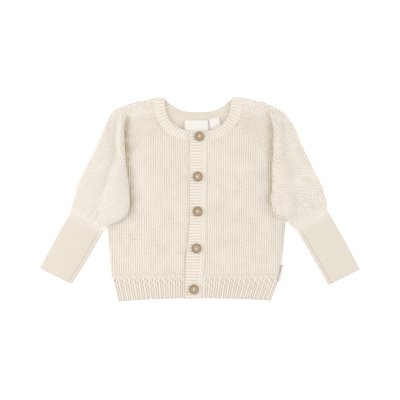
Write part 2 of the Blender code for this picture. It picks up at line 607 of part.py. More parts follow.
def build_neckband():
    """The ribbed strip round the neck: both fronts, folded at the corners, and the back."""
    right_in, right_out = neck_side(-1, float(table_curve(BAND, "left", 85.0)) - SEAM)
    left_in, left_out = neck_side(1, float(table_curve(BAND, "right", 85.0)) + SEAM)
    _, _, (bin_x, bin_y), (bout_x, bout_y) = neck_rows()
    back_in = np.stack([NECK_X - bin_x, bin_y], axis=1)[:-1]
    back_in = np.vstack([back_in, np.stack([NECK_X + bin_x, bin_y], axis=1)[::-1]])
    back_out = np.stack([NECK_X - bout_x, bout_y], axis=1)[:-1]
    back_out = np.vstack([back_out, np.stack([NECK_X + bout_x, bout_y], axis=1)[::-1]])
    radius = (FRONT_Z - BACK_Z) / 2
    middle_z = (FRONT_Z + BACK_Z) / 2

    def corner(sign, going_back):
        angles = np.linspace(math.pi / 2, -math.pi / 2, 7)
        if not going_back:
            angles = angles[::-1]
        reach = radius * np.cos(angles)
        height = middle_z + radius * np.sin(angles)
        in_edge = np.stack([np.full(7, NECK_X + sign * NECK_IN_HALF), NECK_TOP + reach, height], 1)
        out_edge = np.stack([np.full(7, NECK_X + sign * NECK_OUT_HALF), NECK_TOP + reach,
                             height], 1)
        return in_edge, out_edge

    def lifted(points):
        height = FRONT_Z + front_lift(points[:, 0], points[:, 1]) * soft_step(
            132.0, 110.0, points[:, 1])
        return np.column_stack([points, height])

    def flat(points):
        return np.column_stack([points, np.full(len(points), BACK_Z)])

    corner_r, corner_l = corner(-1, True), corner(1, False)
    inner = np.vstack([lifted(right_in)[:-1], corner_r[0], flat(back_in)[1:-1], corner_l[0],
                       lifted(left_in)[::-1][1:]])
    outer = np.vstack([lifted(right_out)[:-1], corner_r[1], flat(back_out)[1:-1], corner_l[1],
                       lifted(left_out)[::-1][1:]])
    centre = (inner + outer) / 2
    steps = np.r_[0.0, np.cumsum(np.linalg.norm(np.diff(centre, axis=0), axis=1))]
    count = 2 * round(steps[-1] / NECK_RIB[0]) + 1
    even = np.linspace(0.0, steps[-1], count)
    inner = np.stack([np.interp(even, steps, column) for column in inner.T], axis=1)
    outer = np.stack([np.interp(even, steps, column) for column in outer.T], axis=1)
    across = np.linspace(0.0, 1.0, 3)[:, None, None]
    middle = (inner + (outer - inner) * across)[:, ::-1]
    ribs = np.tile(every_other(count, NECK_RIB[1]), (3, 1))
    normal = normals_of(middle)
    ribs = ribs * np.clip(normal[..., 2] * 2, 0.0, 1.0)
    return middle, ribs


def band_grid(rows, columns, rise, low_y, trim=0.0):
    """Middle surface of a placket band: rows run down from the neck, columns across."""
    share = np.linspace(0.0, 1.0, columns)
    top_y = NECK_TOP - NECK_FRONT_IN_DEPTH - 0.2
    down = np.linspace(0.0, 1.0, rows)[:, None]
    y = top_y + (low_y - top_y) * down + np.zeros(columns)
    left = table_curve(BAND, "left", y[:, 0])[:, None] + trim
    right = table_curve(BAND, "right", y[:, 0])[:, None] - trim
    x = left + (right - left) * share
    z = FRONT_Z + front_lift(np.minimum(x, 0.0), y) + rise(share)
    return np.stack([x, y, z], axis=-1)


def build_bands():
    """The button band underneath and the ribbed buttonhole band on top of it."""
    top_y = NECK_TOP - NECK_FRONT_IN_DEPTH
    low_y = HEM_MIDDLE - 0.2
    rows = 2 * round((top_y - low_y) / BAND_RIB[0]) + 1

    def over(share):
        return BAND_RISE + np.zeros_like(share)

    def under(share):
        return np.zeros_like(share)

    upper = band_grid(rows, 4, over, low_y)
    ribs = np.tile(every_other(rows, BAND_RIB[1])[:, None], (1, 4))
    ribs[:, 3] = 0.0
    cloth("buttonhole_band", upper, BAND_YARN, ribs, inner_size=(20, 4))
    lower = band_grid(20, 4, under, low_y, trim=1.2)
    cloth("button_band", lower, BAND_YARN, inner_size=(20, 4))


# -------------------------------------------------------------------------- buttons, labels


def button_profile():
    """Turned half profile of a button as (radius, height) pairs, from its top middle out."""
    thick, radius, dish = BUTTON_THICK, BUTTON_RADIUS, BUTTON_DISH
    rim = [(0.0, thick - dish), (0.52, thick - dish), (0.72, thick - 0.1), (0.88, thick),
           (1.0, thick * 0.6), (0.75, 0.0), (0.0, 0.0)]
    return [(share * radius, height) for share, height in rim]


def build_button(number, x, y, z):
    """A turned wooden disc with a raised rim, a dished middle and four holes."""
    name = "button_%d" % number
    segments = BUTTON_SEGMENTS
    disc = bmesh.new()
    profile = button_profile()
    rings = []
    for radius, height in profile:
        if radius == 0.0:
            rings.append([disc.verts.new((0, 0, height * MM))])
            continue
        ring = []
        for k in range(segments):
            angle = 2 * math.pi * k / segments
            ring.append(disc.verts.new((radius * math.cos(angle) * MM,
                                        radius * math.sin(angle) * MM, height * MM)))
        rings.append(ring)
    for upper, lower in zip(rings[:-1], rings[1:]):
        for k in range(segments):
            after = (k + 1) % segments
            if len(upper) == 1:
                disc.faces.new((upper[0], lower[k], lower[after]))
            elif len(lower) == 1:
                disc.faces.new((upper[k], lower[0], upper[after]))
            else:
                disc.faces.new((upper[k], lower[k], lower[after], upper[after]))
    bmesh.ops.recalc_face_normals(disc, faces=disc.faces)
    mesh = bpy.data.meshes.new(name)
    disc.to_mesh(mesh)
    disc.free()
    button = add_object(name, mesh, BUTTON_WOOD)
    button.location = (x * MM, y * MM, z * MM)
    drill = bmesh.new()
    for k in range(4):
        angle = math.pi / 4 + math.pi / 2 * k
        place = Matrix.Translation((BUTTON_HOLE_RING * math.cos(angle) * MM,
                                    BUTTON_HOLE_RING * math.sin(angle) * MM,
                                    BUTTON_THICK / 2 * MM))
        bmesh.ops.create_cone(drill, cap_ends=True, segments=6, radius1=BUTTON_HOLE * MM,
                              radius2=BUTTON_HOLE * MM, depth=BUTTON_THICK * 2 * MM, matrix=place)
    drill_mesh = bpy.data.meshes.new(name + "_drill")
    drill.to_mesh(drill_mesh)
    drill.free()
    cutter = bpy.data.objects.new(name + "_drill", drill_mesh)
    bpy.context.scene.collection.objects.link(cutter)
    cutter.location = button.location
    cutter.hide_render = True
    cutter.display_type = "WIRE"
    holes = button.modifiers.new("holes", "BOOLEAN")
    holes.operation = "DIFFERENCE"
    holes.object = cutter
    return button


def build_label(name, spec, z):
    """A small woven tape lying flat, turned about its middle."""
    turn = math.radians(spec["turn"])
    u = np.linspace(-spec["half_x"], spec["half_x"], 5)
    v = np.linspace(spec["half_y"], -spec["half_y"], 4)
    across, down = np.meshgrid(u, v)
    x = spec["x"] + across * math.cos(turn) - down * math.sin(turn)
    y = spec["y"] + across * math.sin(turn) + down * math.cos(turn)
    middle = np.stack([x, y, np.full_like(x, z)], axis=-1)
    return cloth(name, middle, LABEL_TAPE, wall=TAPE_WALL, inner_size=(4, 5))


def build_side_label():
    """A folded tab that stands out of the left side seam, over the front's side edge."""
    top, foot = np.array(SIDE_LABEL["top"]), np.array(SIDE_LABEL["foot"])
    run = (foot - top) / np.linalg.norm(foot - top)
    outward = np.array([-run[1], run[0]])
    outward = outward if outward[0] > 0 else -outward
    share = np.linspace(-SIDE_LABEL["inset"], SIDE_LABEL["out"], 4)
    down = np.linspace(0.0, 1.0, 5)[:, None, None]
    plan = top + (foot - top) * down + outward * share[None, :, None]
    height = FRONT_Z + WALL / 2 + BODY_RIB[1] + HEM_RIB[1] / 2 + LAYER + TAPE_WALL / 2
    z = np.full(plan.shape[:2], height)
    middle = np.dstack([plan, z])
    return cloth("side_label", middle, LABEL_TAPE, wall=TAPE_WALL, inner_size=(5, 4))


def settle_origin():
    """Move every piece so that the origin is under the middle of the whole garment."""
    bpy.context.view_layer.update()
    corners = []
    for item in bpy.data.objects:
        if item.display_type != "WIRE":
            matrix = np.array(item.matrix_world)
            points = np.empty(len(item.data.vertices) * 3)
            item.data.vertices.foreach_get("co", points)
            points = points.reshape(-1, 3) @ matrix[:3, :3].T + matrix[:3, 3]
            corners += [points.min(axis=0), points.max(axis=0)]
    low, high = np.min(corners, axis=0), np.max(corners, axis=0)
    shift = Matrix.Translation((-(low[0] + high[0]) / 2, -(low[1] + high[1]) / 2, -low[2]))
    for item in bpy.data.objects:
        item.matrix_world = shift @ item.matrix_world


def main():
    """Build every piece, then settle the origin."""
    clear_objects()
    build_back()
    build_front("right_front", RIGHT_SIDE, RIGHT_SLEEVE, "left", -1)
    build_front("left_front", LEFT_SIDE, LEFT_SLEEVE, "right", 1)
    build_hems()
    build_sleeve("right_sleeve", RIGHT_SLEEVE, -1)
    build_sleeve("left_sleeve", LEFT_SLEEVE, 1)
    build_cuff("right_cuff", RIGHT_CUFF, -1)
    build_cuff("left_cuff", LEFT_CUFF, 1)
    middle, ribs = build_neckband()
    cloth("neckband", middle, BAND_YARN, ribs, inner_size=(2, middle.shape[1]))
    build_bands()
    band_top = FRONT_Z + BAND_RISE + WALL / 2 + BAND_RIB[1] + BUTTON_LIFT
    for number, place in enumerate(BUTTONS, start=1):
        lift = float(front_lift(np.minimum(place["x"], 0.0), place["y"]))
        build_button(number, place["x"], place["y"], band_top + lift)
    label_z = BACK_Z + WALL / 2 + LAYER + TAPE_WALL / 2
    build_label("neck_label", NECK_LABEL, label_z)
    build_label("size_label", SIZE_LABEL, label_z)
    build_side_label()
    settle_origin()


main()
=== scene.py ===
"""Visual model of the baby cardigan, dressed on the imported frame.

Every cloth piece is a thin closed shell: its middle surface follows the solid that it stands
for, and the knit stands proud of it as a relief worked out for each point. Lengths are in
millimetres until a mesh is made. +X is the wearer's left, +Y is towards the neck, +Z is up.
"""

import logging
import math
from dataclasses import dataclass, field
from enum import Enum
from typing import Sequence

import bpy
import numpy as np
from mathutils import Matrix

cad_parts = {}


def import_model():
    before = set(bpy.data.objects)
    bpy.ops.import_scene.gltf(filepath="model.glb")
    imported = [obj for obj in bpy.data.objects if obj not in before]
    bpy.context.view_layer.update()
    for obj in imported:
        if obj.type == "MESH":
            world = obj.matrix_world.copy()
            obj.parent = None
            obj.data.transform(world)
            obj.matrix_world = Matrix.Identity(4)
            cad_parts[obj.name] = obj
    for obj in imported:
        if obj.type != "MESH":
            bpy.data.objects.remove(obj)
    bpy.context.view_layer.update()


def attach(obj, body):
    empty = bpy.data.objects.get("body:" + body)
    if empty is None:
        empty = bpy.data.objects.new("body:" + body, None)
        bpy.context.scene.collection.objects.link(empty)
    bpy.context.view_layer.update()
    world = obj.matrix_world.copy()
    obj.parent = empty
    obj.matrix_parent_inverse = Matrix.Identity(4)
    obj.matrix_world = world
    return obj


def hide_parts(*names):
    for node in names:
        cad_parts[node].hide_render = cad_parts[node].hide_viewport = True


LOG = logging.getLogger("cardigan")
MM = 0.001
Array = np.ndarray
Pair = tuple[float, float]
Rgb = tuple[int, int, int]
Material = bpy.types.Material
Object = bpy.types.Object
Value = "Wire | float"


class Side(Enum):
    """Side of the garment, as the wearer has it; the value is the sign of X."""

    RIGHT = -1
    LEFT = 1

    @property
    def word(self) -> str:
        """The side's word in the names of pieces."""
        return self.name.lower()


class Slot(Enum):
    """The record's material slots."""

    KNIT = "knit_cotton"
    RIB = "rib_cotton"
    CUFF = "cuff_rib"
    TAPE = "label_tape"
    WOOD = "button_wood"


# ---- sizes


@dataclass(frozen=True)
class Layers:
    """Walls, the air between layers, and how far parts of the front layer stand up."""

    wall: float = 2.0
    cuff_wall: float = 1.5
    tape_wall: float = 1.0
    layer: float = 0.3
    band_rise: float = 2.5
    puff: float = 1.6
    band_lift: float = 1.9
    near_share: float = 0.45
    tuck_lift: float = 1.4
    fold_rise: float = 6.6

    @property
    def back_z(self) -> float:
        """Middle height of the back layer."""
        return self.wall / 2

    @property
    def cuff_top(self) -> float:
        """Height of a cuff's top face beside its edges."""
        return 2 * self.cuff_wall + self.layer

    @property
    def front_z(self) -> float:
        """Middle height of the front layer."""
        return self.back_z + self.wall + self.layer


@dataclass(frozen=True)
class NeckSizes:
    """The neck opening: centre, corner height, half widths, depths and squareness."""

    x: float = -2.2
    top: float = 136.2
    in_half: float = 44.6
    out_half: float = 59.6
    front_in: float = 44.0
    front_out: float = 56.4
    back_in: float = 17.8
    back_out: float = 34.2
    front_power: float = 2.45
    back_slope: float = 1.62
    back_start: float = 0.8
    back_turn: float = 6.0
    back_pace: float = 0.7
    back_out_power: float = 3.0


@dataclass(frozen=True)
class SleeveRow:
    """One section of a sleeve, from its folded outer edge to the raglan seam.

    Args:
        outer: Plan point of the folded outer edge.
        seam: Plan point on the raglan seam.
        fold: How far the pleat's edge reaches past the seam.
        tuck: How deep the pleat goes under.
        turn: 0 without a pleat, 1 where it doubles back.
    """

    outer: Pair
    seam: Pair
    fold: float
    tuck: float
    turn: float


@dataclass(frozen=True)
class CuffSizes:
    """A flat fine rib tube: its join and open end, outer edge first, and how its sides bow."""

    join: tuple[Pair, Pair]
    end: tuple[Pair, Pair]
    outer_bow: float
    inner_bow: float


@dataclass(frozen=True)
class FrontForm:
    """Where the front layer stands up: in each swell, beside the placket and over the labels.

    Each pair is the start and end of a soft step over X or Y, or over the distance from centre
    (side) or from tuck_x (tuck_side).
    """

    centre: float = -2.0
    side: Pair = (93.0, 62.0)
    hem: Pair = (-136.0, -104.0)
    yoke: Pair = (100.0, 62.0)
    band_out: Pair = (42.0, 12.0)
    band_in: Pair = (0.0, 6.0)
    tuck_x: float = 5.0
    tuck_side: Pair = (40.0, 32.0)
    tuck_low: Pair = (66.0, 88.0)
    tuck_high: Pair = (116.0, 104.0)


LAYERS = Layers()
NECK = NeckSizes()
FORM = FrontForm()

# Buttonhole band edges from neck to hem: (y, left, right)
BAND = ((93.0, -12.6, 10.4), (60.0, -13.0, 9.8), (20.0, -13.4, 9.0), (-20.0, -13.2, 8.4),
        (-50.0, -15.0, 8.0), (-75.0, -18.2, 6.9), (-102.0, -19.2, 4.6), (-133.5, -20.2, 2.9))
SIDES = {Side.RIGHT: ((-125.0, -38.5), (-119.6, -101.0), (-110.5, -137.0)),
         Side.LEFT: ((116.5, -29.5), (110.0, -99.0), (95.5, -138.0))}
HEM_TOP, HEM_MIDDLE, HEM_DIP = -101.0, -133.2, 4.4
PLACKET_TOP, PLACKET_LOW = 85.0, -133.5         # heights y where the bands' edges are read
NECK_BOW, BOWED_ROWS = 2.5, 3.0                 # bow of a sleeve's first section; where it ends
SLEEVE_TABLE = {
    Side.RIGHT: (
        ((-62.0, 136.2), (-54.0, 99.8), -19.0, -4.0, 0.0),
        ((-79.3, 132.4), (-66.0, 90.3), -26.0, -6.0, 0.0),
        ((-93.8, 128.6), (-75.0, 81.3), -33.0, -7.0, 0.0),
        ((-106.6, 124.2), (-84.0, 72.3), -45.0, -5.0, 0.4),
        ((-116.4, 119.4), (-91.0, 64.3), -31.0, 3.5, 1.0),
        ((-123.4, 108.2), (-97.0, 56.5), -13.5, 8.0, 1.0),
        ((-129.2, 93.2), (-102.3, 48.0), 1.8, 8.0, 1.0),
        ((-136.0, 79.2), (-106.5, 38.0), 12.7, 16.8, 1.0),
        ((-143.2, 62.8), (-110.5, 25.0), 19.6, 23.6, 1.0),
        ((-151.9, 46.9), (-114.5, 11.5), 23.7, 27.5, 1.0),
        ((-159.9, 30.0), (-118.3, -2.3), 23.2, 26.7, 1.0),
        ((-166.5, 13.2), (-121.5, -16.0), 16.2, 19.5, 1.0),
        ((-170.6, -2.0), (-124.0, -29.5), 3.2, 5.6, 1.0),
        ((-173.0, -11.5), (-125.5, -38.0), -4.5, -3.6, 0.6),
        ((-174.2, -17.6), (-131.2, -42.8), -7.0, -5.0, 0.0)),
    Side.LEFT: (
        ((57.7, 136.2), (49.6, 99.8), -19.0, -4.0, 0.0),
        ((72.6, 133.8), (61.7, 91.5), -26.0, -6.0, 0.0),
        ((87.4, 130.0), (70.4, 83.2), -33.0, -7.0, 0.0),
        ((100.2, 123.8), (79.2, 73.6), -47.0, -5.0, 0.4),
        ((111.2, 118.0), (87.4, 64.6), -35.0, 3.5, 1.0),
        ((119.6, 109.2), (94.4, 57.0), -17.2, 8.0, 1.0),
        ((127.0, 97.8), (100.0, 49.6), -1.4, 7.6, 1.0),
        ((133.0, 84.0), (104.2, 41.5), 6.2, 10.2, 1.0),
        ((140.1, 66.6), (107.6, 30.6), 10.3, 14.3, 1.0),
        ((149.2, 48.3), (110.2, 19.0), 12.8, 16.6, 1.0),
        ((156.6, 32.9), (112.4, 7.0), 15.4, 19.0, 1.0),
        ((164.2, 17.8), (114.4, -6.0), 14.2, 17.7, 1.0),
        ((169.0, 2.0), (115.8, -18.6), 7.4, 9.9, 1.0),
        ((170.9, -7.0), (117.0, -29.3), -3.0, -3.0, 0.6),
        ((172.0, -14.2), (131.4, -41.4), -7.0, -5.0, 0.0))}
SLEEVES = {side: tuple(SleeveRow(*row) for row in rows) for side, rows in SLEEVE_TABLE.items()}
SLEEVE_BACK = (0.5, 0.72, 0.88, 0.97, 1.0)      # share of each section that the back covers
CUFFS = {
    Side.RIGHT: CuffSizes(((-174.6, -18.4), (-131.6, -43.4)), ((-216.2, -93.2), (-173.9, -114.0)),
                          -1.0, 1.6),
    Side.LEFT: CuffSizes(((172.4, -15.0), (132.0, -42.0)), ((216.2, -94.6), (174.2, -115.4)),
                         1.0, 0.4)}
CUFF_SWELL = 0.9
BUTTONS = ((-0.6, 85.2), (-3.0, 31.0), (-3.0, -15.9), (-4.6, -65.5), (-8.0, -120.6))


# ---- small numeric help


def soft_step(low: float, high: float, value: Array | float) -> Array:
    """Smooth rise from 0 at low to 1 at high.

    Args:
        low: Where the rise starts; it may lie above high.
        high: Where it ends.
        value: Where to read it.

    Returns:
        3 s^2 - 2 s^3, where s is the clipped share of the way from low to high.
    """
    share = np.clip((np.asarray(value, float) - low) / (high - low), 0.0, 1.0)
    return share * share * (3.0 - 2.0 * share)


def evenly(count: int) -> Array:
    """Even shares of a way, from 0 to 1."""
    return np.linspace(0.0, 1.0, count)


def through_rows(values: Array, places: Array) -> Array:
    """Smooth curve through evenly numbered rows (Catmull-Rom).

    Args:
        values: One row of numbers for each whole place.
        places: Fractional places at which the curve is read.

    Returns:
        The interpolated rows.
    """
    values = np.asarray(values, float)
    last = len(values) - 1
    places = np.clip(np.asarray(places, float), 0.0, last)
    row = np.minimum(places.astype(int), last - 1)
    part = (places - row).reshape((-1,) + (1,) * (values.ndim - 1))
    before, start = values[np.maximum(row - 1, 0)], values[row]
    end, after = values[row + 1], values[np.minimum(row + 2, last)]
    slope_start, slope_end = (end - before) / 2, (after - start) / 2
    return ((2 * part**3 - 3 * part**2 + 1) * start + (part**3 - 2 * part**2 + part) * slope_start
            + (3 * part**2 - 2 * part**3) * end + (part**3 - part**2) * slope_end)


def band_edge(column: int, y: Array | float) -> Array:
    """X of a placket edge at height y.

    Args:
        column: 1 for the edge on the wearer's right, 2 for the other one.
        y: Heights.

    Returns:
        The smooth curve through the named rows of BAND.
    """
    table = np.array(BAND)
    places = np.interp(-np.asarray(y, float).ravel(), -table[:, 0], np.arange(len(table)))
    return through_rows(table[:, column], places).reshape(np.shape(y))


def front_lift(x: Array, y: Array) -> Array:
    """How far the front layer stands above its lowest place.

    Args:
        x, y: Plan places.

    Returns:
        A low swell on each front, a rise towards the placket and one over the labels.
    """
    swell = soft_step(*FORM.side, np.abs(x - FORM.centre)) * soft_step(*FORM.hem, y)
    swell = swell * soft_step(*FORM.yoke, y)
    near_band = soft_step(*FORM.band_out, x) * soft_step(*FORM.band_in, x)
    tuck = LAYERS.tuck_lift * soft_step(*FORM.tuck_side, np.abs(x - FORM.tuck_x))
    tuck = tuck * soft_step(*FORM.tuck_low, y) * soft_step(*FORM.tuck_high, y)
    return LAYERS.puff * swell * (1 - LAYERS.near_share * near_band) + (
        LAYERS.band_lift * near_band + tuck)


def value_noise(x: Array, y: Array, size: float, seed: int) -> Array:
    """Smooth random field with one random value at each corner of a square grid.

    Args:
        x, y: Plan places.
        size: Side of a square.
        seed: Which field.

    Returns:
        Values from -1 to 1, blended between the four nearest corners.
    """
    table = np.random.default_rng(seed).uniform(-1.0, 1.0, (64, 64))
    u, v = x / size, y / size
    i, j = np.floor(u).astype(int), np.floor(v).astype(int)
    a, b = soft_step(0.0, 1.0, u - i), soft_step(0.0, 1.0, v - j)
    low = table[i % 64, j % 64] * (1 - a) + table[(i + 1) % 64, j % 64] * a
    high = table[i % 64, (j + 1) % 64] * (1 - a) + table[(i + 1) % 64, (j + 1) % 64] * a
    return low * (1 - b) + high * b


@dataclass(frozen=True)
class Patch:
    """A smooth random field over the plan.

    Args:
        share: Its greatest value.
        size: Side of a square of its grid.
        seed: Which field.
    """

    share: float
    size: float
    seed: int

    def at(self, x: Array, y: Array) -> Array:
        """Its values at plan places: share times value_noise."""
        return self.share * value_noise(x, y, self.size, self.seed)


def travel_along(points: Array) -> Array:
    """Distance of every point of a line from its first one, along the line."""
    return np.r_[0.0, np.cumsum(np.linalg.norm(np.diff(points, axis=0), axis=1))]


def read_along(points: Array, travel: Array, places: Array) -> Array:
    """Points of a line at given distances along it."""
    return np.stack([np.interp(places, travel, column) for column in points.T], axis=1)


# ---- knit relief


@dataclass(frozen=True)
class Knit:
    """A rib knit: how its relief is worked out from rib and stitch numbers.

    Args:
        rib: Height of a rib above the furrow beside it.
        stitch: How much each stitch swells on its rib.
        purl: How much the stitches in the furrow swell.
        slant: How much a stitch's two legs lean, in stitches.
        full: Fullness of a rib, below 1 for a broad top.
        stagger: Shift between the stitches of neighbouring ribs.
    """

    rib: float
    stitch: float
    purl: float
    slant: float = 0.4
    full: float = 0.75
    stagger: float = 0.5

    @property
    def height(self) -> float:
        """The greatest height."""
        return self.rib + self.stitch

    def relief(self, ribs: Array, rows: Array) -> Array:
        """Height of the knit at places numbered in ribs and in stitches.

        Args:
            ribs: Rib number, whole on a crest.
            rows: Stitch number.

        Returns:
            crest^full times the rib's height, plus a cosine swell for each stitch whose
            phase leans with the distance from the crest, plus smaller swells in the furrow.
        """
        number = np.round(ribs)
        aside = np.abs(ribs - number)
        crest = (0.5 + 0.5 * np.cos(math.tau * ribs)) ** self.full
        phase = rows + self.stagger * (number % 2) + self.slant * aside
        loop = 0.5 + 0.5 * np.cos(math.tau * phase)
        bump = 0.5 + 0.5 * np.cos(math.tau * (phase + 0.5))
        return self.rib * crest + self.stitch * crest * loop + self.purl * (1 - crest) * bump


def uneven(relief: Array, tension: Array) -> Array:
    """Make a knit tighter here and looser there.

    Args:
        relief: Heights of the relief.
        tension: Smooth values round 0 by which its contrast grows or shrinks.

    Returns:
        Mean height plus the deviation from it, scaled by 1 + tension, and never below 0.
    """
    mean = float(relief.mean())
    return np.maximum(mean + (relief - mean) * (1.0 + tension), 0.0)


BODY_KNIT = Knit(rib=0.42, stitch=0.72, purl=0.5)
ARM_KNIT = Knit(rib=0.12, stitch=0.8, purl=0.62)
HEM_KNIT = Knit(rib=1.1, stitch=0.4, purl=0.2, slant=0.6)
NECK_KNIT = Knit(rib=0.4, stitch=0.36, purl=0.32, slant=0.5)
BAND_KNIT = Knit(rib=0.5, stitch=0.16, purl=0.1, slant=0.4)
CUFF_KNIT = Knit(rib=0.11, stitch=0.05, purl=0.03, slant=0.5)
BODY_PITCH, HEM_PITCH, NECK_PITCH, BAND_PITCH = 3.05, 3.47, 4.55, 3.95
STITCH_PITCH, FINE_STITCH_PITCH = 2.9, 1.9


# ---- shader help


@dataclass
class Wire:
    """A shader value on its way between nodes; arithmetic on it makes Math nodes."""

    graph: "Graph"
    socket: bpy.types.NodeSocket

    def _math(self, operation: str, *values: Value) -> "Wire":
        """One Math node."""
        return self.graph.node("ShaderNodeMath", {"operation": operation}, *values)

    def __add__(self, other: Value) -> "Wire":
        """Sum."""
        return self._math("ADD", self, other)

    __radd__ = __add__

    def __mul__(self, other: Value) -> "Wire":
        """Product."""
        return self._math("MULTIPLY", self, other)

    __rmul__ = __mul__

    def __sub__(self, other: Value) -> "Wire":
        """Difference."""
        return self._math("SUBTRACT", self, other)

    def __rsub__(self, other: Value) -> "Wire":
        """Difference, the other way round."""
        return self._math("SUBTRACT", other, self)

    def __pow__(self, other: Value) -> "Wire":
        """Power."""
        return self._math("POWER", self, other)

    def sine(self) -> "Wire":
        """Sine of the value in radians."""
        return self._math("SINE", self)

    def clamped(self) -> "Wire":
        """The value kept between 0 and 1."""
        return self.graph.node("ShaderNodeClamp", {}, self)


class Graph:
    """Node tree of one material."""

    def __init__(self, name: str) -> None:
        """Start a material with only its Principled shader and output."""
        self.material = bpy.data.materials.new(name)
        self.material.use_nodes = True
        self.tree = self.material.node_tree
        self.shader = self.tree.nodes["Principled BSDF"]

    def _feed(self, socket: bpy.types.NodeSocket, value: "Wire | float | tuple") -> None:
        """Link a wire to an input, or set the input to a plain value."""
        if isinstance(value, Wire):
            self.tree.links.new(value.socket, socket)
        else:
            socket.default_value = value

    def node(self, kind: str, settings: dict[str, object], *values: "Wire | float | tuple",
             output: int | str = 0, **named: "Wire | float | tuple") -> Wire:
        """Make one node.

        Args:
            kind: The node's type.
            settings: Its properties.
            values: Inputs in order.
            output: Which output to return.
            named: Inputs by name, with underscores for spaces.

        Returns:
            The output as a Wire.
        """
        made = self.tree.nodes.new(kind)
        for key, value in settings.items():
            setattr(made, key, value)
        for socket, value in zip(made.inputs, values):
            self._feed(socket, value)
        for key, value in named.items():
            self._feed(made.inputs[key.replace("_", " ")], value)
        return Wire(self, made.outputs[output])

    def mix(self, share: Wire | float, first: Wire | tuple, second: Wire | tuple) -> Wire:
        """Mix two colours with a Mix node.

        Args:
            share: How much of the second.
            first, second: The colours.

        Returns:
            The mixed colour.
        """
        made = self.tree.nodes.new("ShaderNodeMix")
        made.data_type = "RGBA"
        for key, value in ((0, share), (6, first), (7, second)):
            self._feed(made.inputs[key], value)
        return Wire(self, made.outputs[2])

    def stretched(self, vector: Wire, shares: tuple) -> Wire:
        """A vector with each of its numbers multiplied by a share, by Vector Math."""
        return self.node("ShaderNodeVectorMath", {"operation": "MULTIPLY"}, vector, shares)

    def place(self) -> Wire:
        """Object coordinates."""
        return self.node("ShaderNodeTexCoord", {}, output="Object")

    def attribute(self, name: str) -> Wire:
        """A named vector attribute of the mesh."""
        return self.node("ShaderNodeAttribute", {"attribute_name": name}, output="Vector")

    def split(self, vector: Wire) -> tuple[Wire, Wire, Wire]:
        """The three numbers of a vector."""
        x = self.node("ShaderNodeSeparateXYZ", {}, vector)
        outputs = x.socket.node.outputs
        return x, Wire(self, outputs[1]), Wire(self, outputs[2])

    def noise(self, place: Wire, scale: float, detail: float = 2.0) -> Wire:
        """Noise from 0 to 1 at a scale in turns for each metre of object space."""
        return self.node("ShaderNodeTexNoise", {}, Vector=place, Scale=scale, Detail=detail)

    def bump(self, height: Wire, strength: float, distance: float) -> Wire:
        """A Bump node."""
        return self.node("ShaderNodeBump", {}, Strength=strength, Distance=distance, Height=height)

    def finish(self, constants: dict[str, float | tuple], **wires: Wire) -> Material:
        """Set the shader's own sockets.

        Args:
            constants: Plain values by socket name.
            wires: Values that vary over the surface, with underscores for spaces.

        Returns:
            The material.
        """
        for key, value in constants.items():
            self.shader.inputs[key].default_value = value
        for key, value in wires.items():
            self.tree.links.new(value.socket, self.shader.inputs[key.replace("_", " ")])
        return self.material


def linear(red: int, green: int, blue: int) -> tuple[float, float, float, float]:
    """An sRGB colour as linear light with alpha 1."""
    share = np.array([red, green, blue]) / 255.0
    light = np.where(share <= 0.04045, share / 12.92, ((share + 0.055) / 1.055) ** 2.4)
    return float(light[0]), float(light[1]), float(light[2]), 1.0


@dataclass(frozen=True)
class Speckle:
    """Patches of another colour where a noise stands above a level.

    Args:
        scale: Turns of the noise for each metre.
        detail: Its octaves.
        level: Where a patch starts.
        gain: How fast it grows above that level.
    """

    scale: float
    detail: float
    level: float
    gain: float

    def noise(self, graph: Graph, place: Wire) -> Wire:
        """The noise itself."""
        return graph.noise(place, self.scale, self.detail)

    def share(self, noise: Wire) -> Wire:
        """Share of the other colour: the clamped rise above the level, times the gain."""
        return (noise - self.level).clamped() * self.gain


